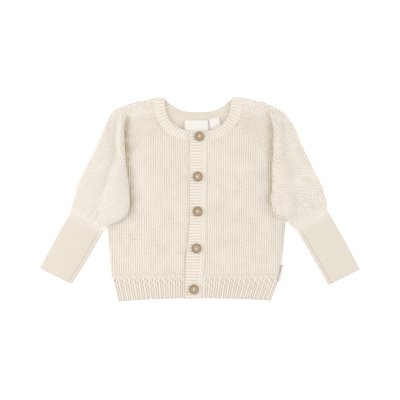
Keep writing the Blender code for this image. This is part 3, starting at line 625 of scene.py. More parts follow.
@dataclass(frozen=True)
class YarnFinish:
    """Matt cotton yarn.

    Args:
        crest: Colour on the crests, in sRGB.
        furrow: Colour of the painted shade in the furrows.
        deep: Colour where a furrow lies in the shade of a fold.
        fibre: Scale of the fibres, in turns for each metre.
        fuzz: Strength of the sheen.
        relief: Strength of the fibre bump.
        dip: Power by which the colour changes with depth.
        deep_from: Depth below which the deep colour starts.
        deep_gain: How fast it grows below that.
        blotch: Wide soft patches of the furrow colour.
        fleck: Small ones.
        plies: Turns of the plies for each rib and for each stitch.
    """

    crest: Rgb
    furrow: Rgb
    deep: Rgb = (188, 160, 92)
    fibre: float = 2600.0
    fuzz: float = 0.25
    relief: float = 0.35
    dip: float = 1.3
    deep_from: float = 0.8
    deep_gain: float = 1.3
    blotch: Speckle = Speckle(45.0, 3.0, 0.5, 0.35)
    fleck: Speckle = Speckle(520.0, 2.0, 0.56, 1.1)
    plies: Pair = (9.0, 6.3)

    def material(self, name: str) -> Material:
        """Make the material: crest colour and painted furrow shade by the mesh's own relief, soft
        patches, and fibre bump along the plies of the yarn."""
        graph = Graph(name)
        place = graph.place()
        ribs, rows, height = graph.split(graph.attribute("knit"))
        depth = 1.0 - height
        # Painted shade: the furrow colour grows with depth, and the deep colour fills the deepest
        # furrows and the fold's shade.
        colour = graph.mix(depth.clamped() ** self.dip, linear(*self.crest), linear(*self.furrow))
        shaded = ((depth - self.deep_from) * self.deep_gain).clamped()
        colour = graph.mix(shaded, colour, linear(*self.deep))
        for patches in (self.blotch, self.fleck):
            share = patches.share(patches.noise(graph, place))
            colour = graph.mix(share, colour, linear(*self.furrow))
        across, along = self.plies
        twist = ((ribs * across + rows * along) * 2.0 * math.pi).sine() * 0.5 + 0.5
        fibre = graph.noise(place, self.fibre, detail=3.0)
        normal = graph.bump(twist * 0.4 + fibre, self.relief, distance=0.0003)
        roughness = 0.82 + fibre * 0.15
        return graph.finish({"Metallic": 0.0, "Sheen Weight": self.fuzz, "Sheen Roughness": 0.6,
                             "Sheen Tint": linear(*self.crest), "Specular IOR Level": 0.15},
                            Base_Color=colour, Roughness=roughness, Normal=normal)


@dataclass(frozen=True)
class TapeFinish:
    """Woven satin tape.

    Args:
        shadow: Colour of the painted shade where it comes out of a seam.
        weave: Pitch of its threads in millimetres.
        dull: Brightness of its blotches as a share of the colour's.
    """

    colour: Rgb
    shadow: Rgb = (128, 120, 108)
    weave: float = 0.35
    blotch: Speckle = Speckle(300.0, 2.0, 0.45, 0.5)
    dull: float = 0.86

    def material(self, name: str) -> Material:
        """Make the material: fine warp and weft bump over a nearly even colour."""
        graph = Graph(name)
        across, along, edge = graph.split(graph.attribute("knit"))
        warp = (across * (math.tau / self.weave)).sine()
        weft = (along * (math.tau / self.weave)).sine()
        blotch = self.blotch.noise(graph, graph.place())
        base = linear(*self.colour)
        shade = tuple(value * self.dull for value in base[:3]) + (1.0,)
        colour = graph.mix(self.blotch.share(blotch), base, shade)
        # Painted shade where the tape comes out of a seam.
        colour = graph.mix((1.0 - edge).clamped(), colour, linear(*self.shadow))
        normal = graph.bump(warp * weft, strength=0.3, distance=0.0001)
        return graph.finish({"Metallic": 0.0, "Sheen Weight": 0.15, "Specular IOR Level": 0.3},
                            Base_Color=colour, Roughness=0.5 + blotch * 0.2, Normal=normal)


@dataclass(frozen=True)
class WoodFinish:
    """Turned wood under a thin wax.

    Args:
        pale: Colour between the year rings, in sRGB; dark is theirs.
        rim: Colour of the rim, and of the painted shade in the dished middle between the holes.
        grain: Turns of the fine grain for each metre; coarse is the coarse grain's.
        stretch: Scale along X, Y and Z, smaller along the grain.
        rings: How close the year rings lie.
        rim_from: Share of the radius where the rim's colour starts.
        middle_to: Share of the radius where the middle's painted shade ends.
        sharp: How fast both change.
        tone: Wide darker patches.
    """

    pale: Rgb
    dark: Rgb
    rim: Rgb
    hole: Rgb
    grain: float = 900.0
    coarse: float = 260.0
    stretch: tuple[float, float, float] = (1.0, 0.22, 1.0)
    rings: float = 9.0
    rim_from: float = 0.54
    middle_to: float = 0.36
    sharp: float = 8.0
    tone: Speckle = Speckle(16.0, 1.0, 0.45, 2.0)

    def material(self, name: str) -> Material:
        """Make the material: stretched grain, a darker worn rim, painted shade in dish and holes."""
        graph = Graph(name)
        place = graph.place()
        radius, _, height = graph.split(graph.attribute("knit"))
        along = graph.stretched(place, self.stretch)
        grain = graph.noise(along, self.grain, detail=4.0)
        bands = grain * 2.0 + graph.noise(along, self.coarse) * 3.0
        rings = (bands * self.rings).sine() * 0.5 + 0.5
        colour = graph.mix(rings * 0.5, linear(*self.pale), linear(*self.dark))
        worn = graph.noise(place, 420.0)
        edge = ((radius - self.rim_from + (worn - 0.5) * 0.2) * self.sharp).clamped()
        colour = graph.mix(edge * (1.1 - worn * 0.5), colour, linear(*self.rim))
        # Painted shade in the dished middle, in the rim's colour.
        middle = ((self.middle_to - radius) * self.sharp).clamped()
        colour = graph.mix(middle * 0.6, colour, linear(*self.rim))
        tone = self.tone.share(self.tone.noise(graph, place))
        colour = graph.mix(tone, colour, linear(*self.dark))
        # Painted shade in the holes.
        colour = graph.mix((1.0 - height).clamped(), colour, linear(*self.hole))
        normal = graph.bump(grain, strength=0.25, distance=0.0002)
        return graph.finish({"Metallic": 0.0, "Coat Roughness": 0.35, "Specular IOR Level": 0.4},
                            Base_Color=colour, Roughness=0.42 + grain * 0.25, Normal=normal)


@dataclass(frozen=True)
class FloorFinish:
    """The pale floor: a lit table, so that shadows on it stay faint."""

    level: float = 0.93
    glow: float = 0.3
    grain: tuple[float, float, float] = (0.985, 0.985, 0.98)

    def material(self, name: str) -> Material:
        """Make the material: an even white with a hint of grain."""
        graph = Graph(name)
        grain = graph.noise(graph.place(), 60.0)
        white = (self.level, self.level, self.level, 1.0)
        shade = tuple(self.level * share for share in self.grain) + (1.0,)
        return graph.finish({"Specular IOR Level": 0.0, "Emission Strength": self.glow},
                            Base_Color=graph.mix(grain, white, shade), Roughness=0.9 + grain * 0.1)


FINISHES = {
    "body": YarnFinish((243, 237, 229), (188, 174, 155)),
    "sleeve": YarnFinish((243, 237, 229), (190, 177, 160)),
    "cuff": YarnFinish((226, 219, 209), (202, 192, 178), relief=0.25),
    "band": YarnFinish((237, 230, 221), (202, 190, 174)),
    "seam": YarnFinish((234, 227, 217), (200, 186, 168)),
}


# ---- cloth shells


def normals_of(grid: Array, wrap: bool = False) -> Array:
    """Unit normals of a grid of points.

    Args:
        grid: Rows by columns by 3.
        wrap: The last column joins the first.

    Returns:
        Row direction times column direction, as unit vectors: up where rows run down.
    """
    if wrap:
        across = np.roll(grid, -1, axis=1) - np.roll(grid, 1, axis=1)
    else:
        across = np.gradient(grid, axis=1)
    normal = np.cross(np.gradient(grid, axis=0), across)
    return normal / np.maximum(np.linalg.norm(normal, axis=2, keepdims=True), 1e-9)


@dataclass
class Shell:
    """A closed cloth shell round a middle surface.

    Args:
        node: The node that it stands for.
        middle: Rows by columns by 3, in millimetres; it faces up where rows run down.
        wall: Thickness without the relief.
        relief: Height of the relief for each point.
        marks: Rows by columns by 3 numbers for the shader: rib, stitch, relative height.
        ratio: Columns of the outer face for each one of the inner face.
        wrap: The last column joins the first.
        rounding: Radius by which free edges are rounded.
        top_relief: Full height of the relief, taken off where the surface faces down.
        carve: Full height of a relief that the inner face has too, cut into the wall.
        square: Edges that aren't rounded, out of top, low, left and right.
        kind: What it is made as; the piece is named for its node and this.
    """

    node: str
    middle: Array
    wall: float
    relief: Array
    marks: Array
    ratio: int = 4
    wrap: bool = False
    rounding: float = 1.0
    top_relief: float = 0.0
    carve: float = 0.0
    square: tuple[str, ...] = ()
    kind: str = "knit"

    def _edge_share(self) -> Array:
        """Share of the wall left beside the free edges: sqrt(1 - (1 - distance/radius)^2)."""
        rows, columns = self.middle.shape[:2]
        down = np.linalg.norm(np.diff(self.middle, axis=0), axis=2)
        down = np.vstack([np.zeros((1, columns)), np.cumsum(down, axis=0)])
        edges = {"top": down, "low": down[-1] - down}
        if not self.wrap:
            side = np.linalg.norm(np.diff(self.middle, axis=1), axis=2)
            side = np.hstack([np.zeros((rows, 1)), np.cumsum(side, axis=1)])
            edges.update(left=side, right=side[:, -1:] - side)
        distance = np.full((rows, columns), self.rounding)
        for edge, away in edges.items():
            if edge not in self.square:
                distance = np.minimum(distance, away)
        near = 1.0 - np.clip(distance / self.rounding, 0.0, 1.0)
        return np.sqrt(np.clip(1.0 - near**2, 0.0, 1.0))

    def build(self, material: Material) -> Object:
        """Make the mesh: the outer face carries the relief, the inner face is plain.

        Args:
            material: Its finish.

        Returns:
            The linked object.
        """
        rows, columns = self.middle.shape[:2]
        normal = normals_of(self.middle, self.wrap)
        share = self._edge_share()
        facing_down = np.clip(-normal[..., 2], 0.0, 1.0)
        height = self.relief - self.top_relief * facing_down
        outer = self.middle + normal * ((self.wall / 2 + height) * (0.15 + 0.85 * share))[..., None]
        picked = np.arange(0, columns, self.ratio)
        depth = self.wall / 2 - (self.carve - self.relief if self.carve else 0.0) * share
        inner = (self.middle - normal * (depth + np.zeros_like(share))[..., None])[:, picked]
        outer[..., 2] = np.maximum(outer[..., 2], 0.0)
        inner[..., 2] = np.maximum(inner[..., 2], 0.0)
        points = np.vstack([outer.reshape(-1, 3), inner.reshape(-1, 3)]) * MM
        marks = np.vstack([self.marks.reshape(-1, 3), self.marks[:, picked].reshape(-1, 3)])
        top = np.arange(rows * columns).reshape(rows, columns)
        low = rows * columns + np.arange(rows * len(picked)).reshape(rows, len(picked))
        faces = self._faces(top, low)
        return new_object(f"{self.node}_{self.kind}", points, faces, marks, material)

    def lay(self, material: Material, slot: Slot, *rests_on: str, held: str = "laid",
            spread: bool = False) -> None:
        """Args:
            material: Its finish.
            slot: The record's material slot.
            rests_on: What it lies on; not used.
            held: How it is held; not used.
            spread: Whether it lies spread, square to the frame.
        """
        item = self.build(material)
        dress(item, slot, self.node)
        width, long = flat_size(self.middle, spread)
        area = panel_area(self.middle)
        LOG.info("%s: %.1f x %.1f mm, %.2f cm2", item.name, long / MM, width / MM, area * 1e4)

    def _faces(self, top: Array, low: Array) -> list[Array]:
        """Quads of both faces and the rims between them, all facing out."""
        if self.wrap:
            top = np.hstack([top, top[:, :1]])
            low = np.hstack([low, low[:, :1]])
        faces = [quads(top), quads(low[:, ::-1])]
        for row, flip in ((0, False), (-1, True)):
            faces += fan(top[row], low[row], self.ratio, flip)
        if not self.wrap:
            for column, flip in ((0, True), (-1, False)):
                pair = np.stack([top[:, column], low[:, column]], axis=1)
                faces.append(quads(pair[:, ::-1] if flip else pair))
        return faces


def quads(ids: Array) -> Array:
    """Quads of a grid of vertex numbers, facing up where rows run down."""
    return np.stack([ids[:-1, :-1], ids[1:, :-1], ids[1:, 1:], ids[:-1, 1:]], axis=-1).reshape(-1, 4)


def fan(fine: Array, coarse: Array, ratio: int, flip: bool) -> list[Array]:
    """Triangles between a fine edge and one with a vertex at every ratio-th place.

    Args:
        fine: Vertex numbers of the fine edge.
        coarse: Vertex numbers of the coarse edge.
        ratio: Fine steps for each coarse one.
        flip: Face the other way.

    Returns:
        A triangle on each fine step to the nearest coarse vertex, and one on each coarse step.
    """
    steps = np.arange(len(fine) - 1)
    nearest = np.minimum((steps + ratio // 2) // ratio, len(coarse) - 1)
    first = np.stack([fine[steps], fine[steps + 1], coarse[nearest]], axis=1)
    wide = np.arange(len(coarse) - 1)
    meet = np.minimum(wide * ratio + (ratio + 1) // 2, len(fine) - 1)
    second = np.stack([fine[meet], coarse[wide + 1], coarse[wide]], axis=1)
    if flip:
        first, second = first[:, ::-1], second[:, ::-1]
    return [first, second]


def new_object(name: str, points: Array, faces: list[Array], marks: Array,
               material: Material) -> Object:
    """Make and link a smooth mesh object at the origin.

    Args:
        name: Object and mesh name.
        points: Vertices in metres.
        faces: Arrays of quads or triangles.
        marks: Three numbers for each vertex, kept as the attribute knit.
        material: Its finish.

    Returns:
        The object.
    """
    sizes = np.concatenate([np.full(len(part), part.shape[1]) for part in faces])
    corners = np.concatenate([part.ravel() for part in faces])
    mesh = bpy.data.meshes.new(name)
    mesh.vertices.add(len(points))
    mesh.vertices.foreach_set("co", np.asarray(points, np.float32).ravel())
    mesh.loops.add(len(corners))
    mesh.loops.foreach_set("vertex_index", corners.astype(np.int32))
    mesh.polygons.add(len(sizes))
    mesh.polygons.foreach_set("loop_start", np.r_[0, np.cumsum(sizes)[:-1]].astype(np.int32))
    mesh.update(calc_edges=True)
    mesh.validate()
    mesh.polygons.foreach_set("use_smooth", np.ones(len(mesh.polygons), bool))
    layer = mesh.attributes.new("knit", "FLOAT_VECTOR", "POINT")
    layer.data.foreach_set("vector", np.asarray(marks, np.float32).ravel())
    mesh.materials.append(material)
    item = bpy.data.objects.new(name, mesh)
    bpy.context.scene.collection.objects.link(item)
    LOG.info("%s: %d vertices, %d faces", name, len(points), len(sizes))
    return item


def counted(length: float, step: float, ratio: int = 1) -> int:
    """Number of points along a length at about a step, with a whole number of ratios."""
    return ratio * max(2, round(length / step / ratio)) + 1


def dress(item: Object, slot: Slot, *nodes: str) -> None:
    """Let a piece ride and stand for its nodes.

    Args:
        item: The piece.
        slot: The record's material slot; not used.
        nodes: CAD nodes that it stands for.
    """
    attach(item, "root")
    if nodes:
        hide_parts(*nodes)


def panel_area(middle: Array) -> float:
    """Area of a grid surface in square metres: the sum of its cells' two half cross products."""
    a, b = middle[:-1, :-1], middle[:-1, 1:]
    c, d = middle[1:, 1:], middle[1:, :-1]
    cells = np.linalg.norm(np.cross(c - a, d - b), axis=-1) / 2
    return float(cells.sum()) * MM * MM


def flat_size(middle: Array, spread: bool) -> Pair:
    """Measured width and length of a sheet's cut.

    A spread sheet has nothing to unfold, so it measures its box in plan. Any other measures its
    longest grid line each way, which follows every fold and goes all round a tube.

    Args:
        middle: Middle surface of the sheet, in millimetres.
        spread: Whether it lies spread, square to the frame.

    Returns:
        The smaller and the greater size in metres.
    """
    if spread:
        sizes = np.ptp(middle[..., :2].reshape(-1, 2), axis=0)
    else:
        sizes = [np.linalg.norm(np.diff(middle, axis=k), axis=-1).sum(k).max() for k in (0, 1)]
    width, long = sorted(float(size) * MM for size in sizes)
    return width, long


# ---- form placed one by one


@dataclass(frozen=True)
class Crease:
    """A soft trough or ridge along a straight line in plan.

    Args:
        start: Plan point where it begins.
        end: Plan point where it fades out.
        width: Half width of its profile.
        rise: Height of a ridge, negative for a trough.
    """

    start: Pair
    end: Pair
    width: float
    rise: float

    def height(self, x: Array, y: Array) -> Array:
        """Height at plan places.

        Args:
            x, y: Plan places.

        Returns:
            rise times a bell of the distance from the line, faded towards both of its ends.
        """
        start, run = np.array(self.start), np.array(self.end) - np.array(self.start)
        length = float(np.linalg.norm(run))
        along = ((x - start[0]) * run[0] + (y - start[1]) * run[1]) / length
        aside = ((x - start[0]) * run[1] - (y - start[1]) * run[0]) / length
        fade = soft_step(-self.width, self.width, along)
        fade = fade * soft_step(length + self.width, length - self.width, along)
        return self.rise * np.exp(-((aside / self.width) ** 2)) * fade


def creased(x: Array, y: Array, creases: Sequence[Crease]) -> Array:
    """Sum of several creases."""
    total = np.zeros_like(x)
    for crease in creases:
        total = total + crease.height(x, y)
    return total


def marks_of(ribs: Array, rows: Array, relief: Array, full: Array | float) -> Array:
    """Numbers for the shader: rib number, stitch number, height as a share of the full one."""
    return np.stack([ribs, rows, relief / full], axis=-1)


def fold_line(side: Side) -> Array:
    """Plan points along a sleeve's folded edge, from the shoulder to the cuff."""
    least_turn, count = 0.3, 150
    points = []
    for row in SLEEVES[side]:
        if row.turn > least_turn:
            outer, seam = np.array(row.outer), np.array(row.seam)
            width = float(np.linalg.norm(seam - outer))
            points.append(outer + (seam - outer) * (width + row.fold) / width)
    return through_rows(np.array(points), np.linspace(0.0, len(points) - 1.0, count))


def from_line(x: Array, y: Array, line: Array) -> Array:
    """Distance of every plan place from the nearest point of a line."""
    found = np.full(np.shape(x), np.inf)
    batch = 30
    for start in range(0, len(line), batch):
        part = line[start:start + batch]
        apart = (x[..., None] - part[:, 0]) ** 2 + (y[..., None] - part[:, 1]) ** 2
        found = np.minimum(found, apart.min(axis=-1))
    return np.sqrt(found)


@dataclass(frozen=True)
class Fold:
    """The shade that a sleeve's folded edge casts on the knit beside it.

    Args:
        side: The wearer's side.
        wide: How far it reaches, wandering by ragged; it is full at start.
        lit: How far the bounced light reaches right beside the edge.
        shoulder_loss: Share of the shade that is lost towards the shoulder.
        low_end: Height y where the shade has faded out at the underarm, over low_soft.
        shoulder: Heights y between which it fades at the shoulder.
        level: Its strength, wandering by blotchy.
        floor: Height share that it takes off everywhere.
        gap: Most that it takes off in the gaps between stitches, by the depth to gap_power.
    """

    side: Side
    wide: float = 12.5
    lit: float = 2.2
    shoulder_loss: float = 0.0
    low_end: float = -28.0
    low_soft: float = 16.0
    shoulder: Pair = (126.0, 100.0)
    start: float = 3.0
    level: float = 0.85
    ragged: Patch = Patch(2.0, 11.0, 21)
    blotchy: Patch = Patch(0.45, 5.0, 12)
    floor: float = 0.2
    gap: float = 0.85
    gap_power: float = 1.4

    def shade(self, x: Array, y: Array) -> Array:
        """Full in the furrow beside the fold, fading over its width and towards both ends."""
        away = from_line(x, y, fold_line(self.side))
        wide = self.wide + self.ragged.at(x, y)
        mask = soft_step(0.0, self.start, away) * soft_step(wide, self.start, away)
        mask = mask * (self.level + self.blotchy.at(x, y)) * (1.0 - 0.2 * soft_step(50, 90, y))
        kept = 1.0 - self.shoulder_loss * soft_step(55.0, 85.0, y)
        ends = soft_step(self.low_end, self.low_end + self.low_soft, y)
        return mask * kept * soft_step(*self.shoulder, y) * ends

    def apply(self, marks: Array, x: Array, y: Array, share: Array | float = 1.0) -> None:
        """Lower the marks' height share in the shade, most of all between the stitches.

        Args:
            marks: Numbers for the shader, changed in place.
            x, y: Plan places.
            share: How much of the shade falls on each column.
        """
        # Painted shade: the height share drops, most of all between the stitches.
        depth = np.clip(1.0 - marks[..., 2], 0.0, 1.0) ** self.gap_power
        marks[..., 2] -= share * self.shade(x, y) * (self.floor + self.gap * depth)
        # Painted bounced light: the height share rises right beside the fold's edge, over a wider
        # strip near the underarm.
        lit = self.lit + 1.6 * soft_step(-14.0, -24.0, y)
        glow = np.exp(-((from_line(x, y, fold_line(self.side)) / lit) ** 2)) * share
        marks[..., 2] += glow * (1.0 - marks[..., 2])


FOLDS = {Side.RIGHT: Fold(Side.RIGHT),
         Side.LEFT: Fold(Side.LEFT, shoulder_loss=0.4, low_end=-16.0)}


# ---- body panels


def neck_edge_y(x: Array, depth: float, power: float, clear: float) -> Array:
    """Upper edge of a body panel under the neckband.

    Args:
        x: Plan places.
        depth: Depth of the neckband's outer edge below the corner.
        power: Squareness of that edge.
        clear: Clearance.

    Returns:
        Height y of the squared-off ellipse, less the clearance.
    """
    reach = np.clip((np.abs(x - NECK.x) - clear) / NECK.out_half, 0.0, 1.0)
    return NECK.top - depth * (1 - reach**power) ** (1 / power) - clear


def back_share(rows: Sequence[SleeveRow]) -> Array:
    """Share of each sleeve section that the back layer covers."""
    return np.interp(np.arange(len(rows)), np.arange(len(SLEEVE_BACK)), SLEEVE_BACK)


def section_plan(rows: Sequence[SleeveRow], number: int, share: Array | float) -> Array:
    """Plan points of a sleeve section.

    Args:
        rows: The sleeve's sections.
        number: Which one.
        share: Shares of the way from the outer edge to the seam.

    Returns:
        Points on the straight section, bowed round the neckband in the first ones.
    """
    outer, seam = np.array(rows[number].outer), np.array(rows[number].seam)
    inward = (seam - outer) / np.linalg.norm(seam - outer)
    aside = np.array([inward[1], -inward[0]]) * math.copysign(1.0, outer[0] * inward[1])
    bow = NECK_BOW * max(0.0, 1.0 - number / BOWED_ROWS)
    share = np.asarray(share, float).reshape(-1, 1)
    bend = np.clip(share, 0.0, 1.0)
    return outer + (seam - outer) * share + aside * bow * 4 * bend * (1 - bend)


def raglan_points(side: Side, back: bool = False) -> Array:
    """Plan points of the front or back raglan seam, from the neck to the underarm."""
    rows = SLEEVES[side]
    shares = back_share(rows) if back else np.ones(len(rows))
    return np.vstack([section_plan(rows, k, shares[k]) for k in range(len(rows) - 1)])


def raglan_y(side: Side, x: Array, clear: float, back: bool = False) -> Array:
    """Upper edge of a body panel along a raglan seam."""
    seam = raglan_points(side, back)
    order = np.argsort(seam[:, 0])
    return np.interp(x + side.value * clear, seam[order, 0], seam[order, 1]) - clear


@dataclass
class FrontPanel:
    """One front with its lengthwise half-cardigan ribs.

    Args:
        side: The wearer's side.
        creases: Soft troughs and ridges.
        step: Grid step across the ribs.
        row_step: Grid step along the ribs.
        clear: Clearance to the neighbours' edges.
        edge_drop: How far the side edge rolls down.
        rib_wander: How the ribs wander; row_wander is for the stitches.
        tension: How the knit's contrast varies.
        calm: Heights y between which the colours even out towards the hem.
    """

    side: Side
    creases: Sequence[Crease] = ()
    step: float = 0.62
    row_step: float = 0.72
    clear: float = 0.2
    edge_drop: float = 1.0
    rib_wander: Patch = Patch(0.16, 14.0, 3)
    row_wander: Patch = Patch(0.4, 22.0, 4)
    tension: Patch = Patch(0.4, 9.0, 5)
    calm: Pair = (-95.0, HEM_TOP)

    def middle(self) -> Array:
        """Middle surface: columns from the placket to the side, rows from neck to hem.

        Returns:
            Points on straight columns, bent near the placket along its edge, at the front
            layer's height plus its swell and creases.
        """
        sign, clear = self.side.value, self.clear
        column = 1 if self.side is Side.RIGHT else 2
        (top_x, _), (low_x, _), _ = SIDES[self.side]
        band_low = band_edge(column, HEM_TOP) + sign * clear
        band_top = band_edge(column, PLACKET_TOP) + sign * clear
        columns = counted(abs(top_x) - 11.0, self.step, 6)
        rows = counted(210.0, self.row_step)
        share = evenly(columns)
        x_low = band_low + (low_x - sign * clear - band_low) * share
        x_high = band_top + (top_x - sign * clear - band_top) * share
        y_high = np.minimum(neck_edge_y(x_high, NECK.front_out, NECK.front_power, clear),
                            raglan_y(self.side, x_high, clear))
        down = evenly(rows)[:, None]
        y = y_high + (HEM_TOP - y_high) * down
        x = x_high + (x_low - x_high) * down
        edge = band_edge(column, np.clip(y, -133.0, 90.0)) + sign * clear
        x = x + (edge - (band_top + (band_low - band_top) * down)) * (1 - share) ** 2
        z = LAYERS.front_z + front_lift(x, y) + creased(x, y, self.creases)
        drop = soft_step(0.97, 1.0, share) * soft_step(0.3, 0.45, down)
        z = z - self.edge_drop * drop
        grid = np.stack([x, y, z], axis=-1)
        return grid[:, ::-1] if sign < 0 else grid

    def build(self, material: Material) -> None:
        middle = self.middle()
        x, y = middle[..., 0], middle[..., 1]
        ribs = x / BODY_PITCH + self.rib_wander.at(x, y)
        rows = y / STITCH_PITCH + self.row_wander.at(x, y)
        relief = uneven(BODY_KNIT.relief(ribs, rows), self.tension.at(x, y))
        marks = marks_of(ribs, rows, relief, 0.93 * BODY_KNIT.height)
        marks[..., 2] += 0.5 * soft_step(*self.calm, y) * (0.5 - marks[..., 2])
        # Painted shade and bounced light beside the sleeve's fold.
        FOLDS[self.side].apply(marks, x, y)
        Shell(f"{self.side.word}_front", middle, LAYERS.wall, relief, marks, ratio=6,
              square=("low",)).lay(material, Slot.KNIT, "back_panel", spread=True)


@dataclass
class BackPanel:
    """The back: flat under both fronts; its knit shows on the underside.

    Args:
        step: Grid step across the ribs.
        row_step: Grid step along the ribs.
        clear: Clearance to the neighbours' edges.
    """

    step: float = 0.9
    row_step: float = 1.7
    clear: float = 0.3

    def middle(self) -> Array:
        """Middle surface, facing down: columns run to -X and rows from neck to hem."""
        (left_x, _), (low_left, _), _ = SIDES[Side.RIGHT]
        (right_x, _), (low_right, _), _ = SIDES[Side.LEFT]
        clear = self.clear
        columns = counted(right_x - left_x, self.step, 6)
        share = evenly(columns)
        x_high = left_x + clear + (right_x - left_x - 2 * clear) * share
        x_low = low_left + clear + (low_right - low_left - 2 * clear) * share
        raglan = np.where(x_high < 0, raglan_y(Side.RIGHT, x_high, clear, back=True),
                          raglan_y(Side.LEFT, x_high, clear, back=True))
        neck = neck_edge_y(x_high, NECK.back_out, NECK.back_out_power, clear)
        y_high = np.minimum(neck, raglan)
        down = evenly(counted(220.0, self.row_step))[:, None]
        y = y_high + (HEM_TOP + clear - y_high) * down
        x = x_high + (x_low - x_high) * down
        return np.stack([x, y, np.full_like(x, LAYERS.back_z)], axis=-1)[:, ::-1]

    def build(self, material: Material) -> None:
        middle = self.middle()
        ribs, rows = middle[..., 0] / BODY_PITCH, middle[..., 1] / STITCH_PITCH
        relief = BODY_KNIT.relief(ribs, rows)
        marks = marks_of(ribs, rows, relief, BODY_KNIT.height)
        Shell("back_panel", middle, LAYERS.wall, relief, marks, ratio=6,
              top_relief=BODY_KNIT.height).lay(material, Slot.KNIT, spread=True)


@dataclass
class HemWelt:
    """A deep rib welt below a front or the back.

    Args:
        node: The node that it stands for.
        start: X of its first end at the top and at the bottom.
        end: X of its other end at the top and at the bottom.
        on_top: Whether it lies on the back's welt.
        step: Grid step across the ribs.
        clear: Clearance to the panel above.
        rows: Grid rows from top to edge.
        half: Distance from the middle where its edge is HEM_DIP lower.
        waver: Share of a pitch by which a rib wavers, and the length of a wave.
        calm: Heights y between which the body's knit passes into the ribs.
        gather: Height and length of the gathers at its edge.
    """

    node: str
    start: Pair
    end: Pair
    on_top: bool
    step: float = 0.6
    clear: float = 0.02
    rows: int = 42
    half: float = 110.0
    waver: Pair = (0.17, 8.0)
    calm: Pair = (-109.0, HEM_TOP)
    gather: Pair = (0.35, 31.0)

    def build(self, material: Material) -> None:
        columns = counted(abs(self.end[0] - self.start[0]), self.step, 6)
        share = evenly(columns)
        down = evenly(self.rows)[:, None]
        top_x = self.start[0] + (self.end[0] - self.start[0]) * share
        low_x = self.start[1] + (self.end[1] - self.start[1]) * share
        x = top_x + (low_x - top_x) * down
        low_y = HEM_MIDDLE - HEM_DIP * (low_x / self.half) ** 2
        y = HEM_TOP - self.clear + (low_y - HEM_TOP + self.clear) * down
        ribs = top_x / HEM_PITCH + np.zeros_like(y)
        rows = y / STITCH_PITCH
        waver, length = self.waver
        ribs = ribs + waver * np.sin(math.tau * y / length + 2.4 * np.round(ribs)) * (
            0.15 + 0.85 * soft_step(-121.0, -106.0, y))
        number = np.round(ribs)
        relief = HEM_KNIT.relief(ribs, rows) * (0.86 + 0.14 * np.cos(math.pi * number))
        start = soft_step(*self.calm, y)
        relief = relief + 0.75 * start * (0.5 * HEM_KNIT.height - relief)
        marks = marks_of(ribs, rows, relief, HEM_KNIT.height)
        marks[..., 2] += 0.05 - 0.07 * start
        if self.on_top:
            z = LAYERS.front_z + front_lift(x, y)
            high, length = self.gather
            gather = high * np.cos(math.tau * x / length + 1.0) * soft_step(HEM_TOP, -133.0, y)
            middle = np.stack([x, y, z + gather], axis=-1)
        else:
            middle = np.stack([x, y, np.full_like(x, LAYERS.back_z)], axis=-1)[:, ::-1]
            relief, marks = relief[:, ::-1], marks[:, ::-1]
        rests_on = ("hem_back",) if self.on_top else ()
        Shell(self.node, middle, LAYERS.wall, relief, marks, ratio=6, rounding=1.6,
              top_relief=HEM_KNIT.height, square=("top",)).lay(material, Slot.KNIT, *rests_on,
                                                               spread=True)


@dataclass
class Body:
    """Back, fronts and hem welts."""

    material: Material

    def build(self) -> None:
        """Make all body pieces in order."""
        BackPanel().build(self.material)
        right_creases = (Crease((-86.0, 48.0), (-84.0, -28.0), 6.5, -0.7),
                         Crease((-101.0, -30.0), (-70.0, -62.0), 6.0, 0.7),
                         Crease((-112.0, -48.0), (-84.0, -78.0), 5.0, -0.6),
                         Crease((-48.0, 60.0), (-40.0, -10.0), 9.0, 0.4))
        left_creases = (Crease((86.0, 48.0), (85.0, -28.0), 6.5, -0.7),
                        Crease((98.0, -26.0), (72.0, -60.0), 6.0, 0.7),
                        Crease((106.0, -44.0), (82.0, -76.0), 5.0, -0.6),
                        Crease((46.0, 62.0), (40.0, -20.0), 9.0, 0.4))
        FrontPanel(Side.RIGHT, right_creases).build(self.material)
        FrontPanel(Side.LEFT, left_creases).build(self.material)
        (_, (right_top, _), (right_low, _)) = SIDES[Side.RIGHT]
        (_, (left_top, _), (left_low, _)) = SIDES[Side.LEFT]
        gap, heights = LAYERS.layer, (HEM_TOP, PLACKET_LOW)
        band_left = tuple(float(band_edge(1, y)) - gap for y in heights)
        band_right = tuple(float(band_edge(2, y)) + gap for y in heights)
        right, left = (right_top + gap, right_low), (left_top - gap, left_low)
        HemWelt("hem_right_front", right, band_left, on_top=True).build(self.material)
        HemWelt("hem_left_front", band_right, left, on_top=True).build(self.material)
        HemWelt("hem_back", right, left, on_top=False, step=0.9).build(self.material)


# ---- sleeves


@dataclass(frozen=True)
class SleeveSteps:
    """Grid columns of a sleeve section's stretches, and how far its folds bulge and slope."""

    cap: int = 62
    turn: int = 9
    top: int = 130
    bend: int = 8
    under: int = 40
    pleat_reach: float = 2.3
    least_reach: float = 0.3
    bend_reach: float = 2.2
    pleat_slope: float = 15.0
    loft: float = 1.4


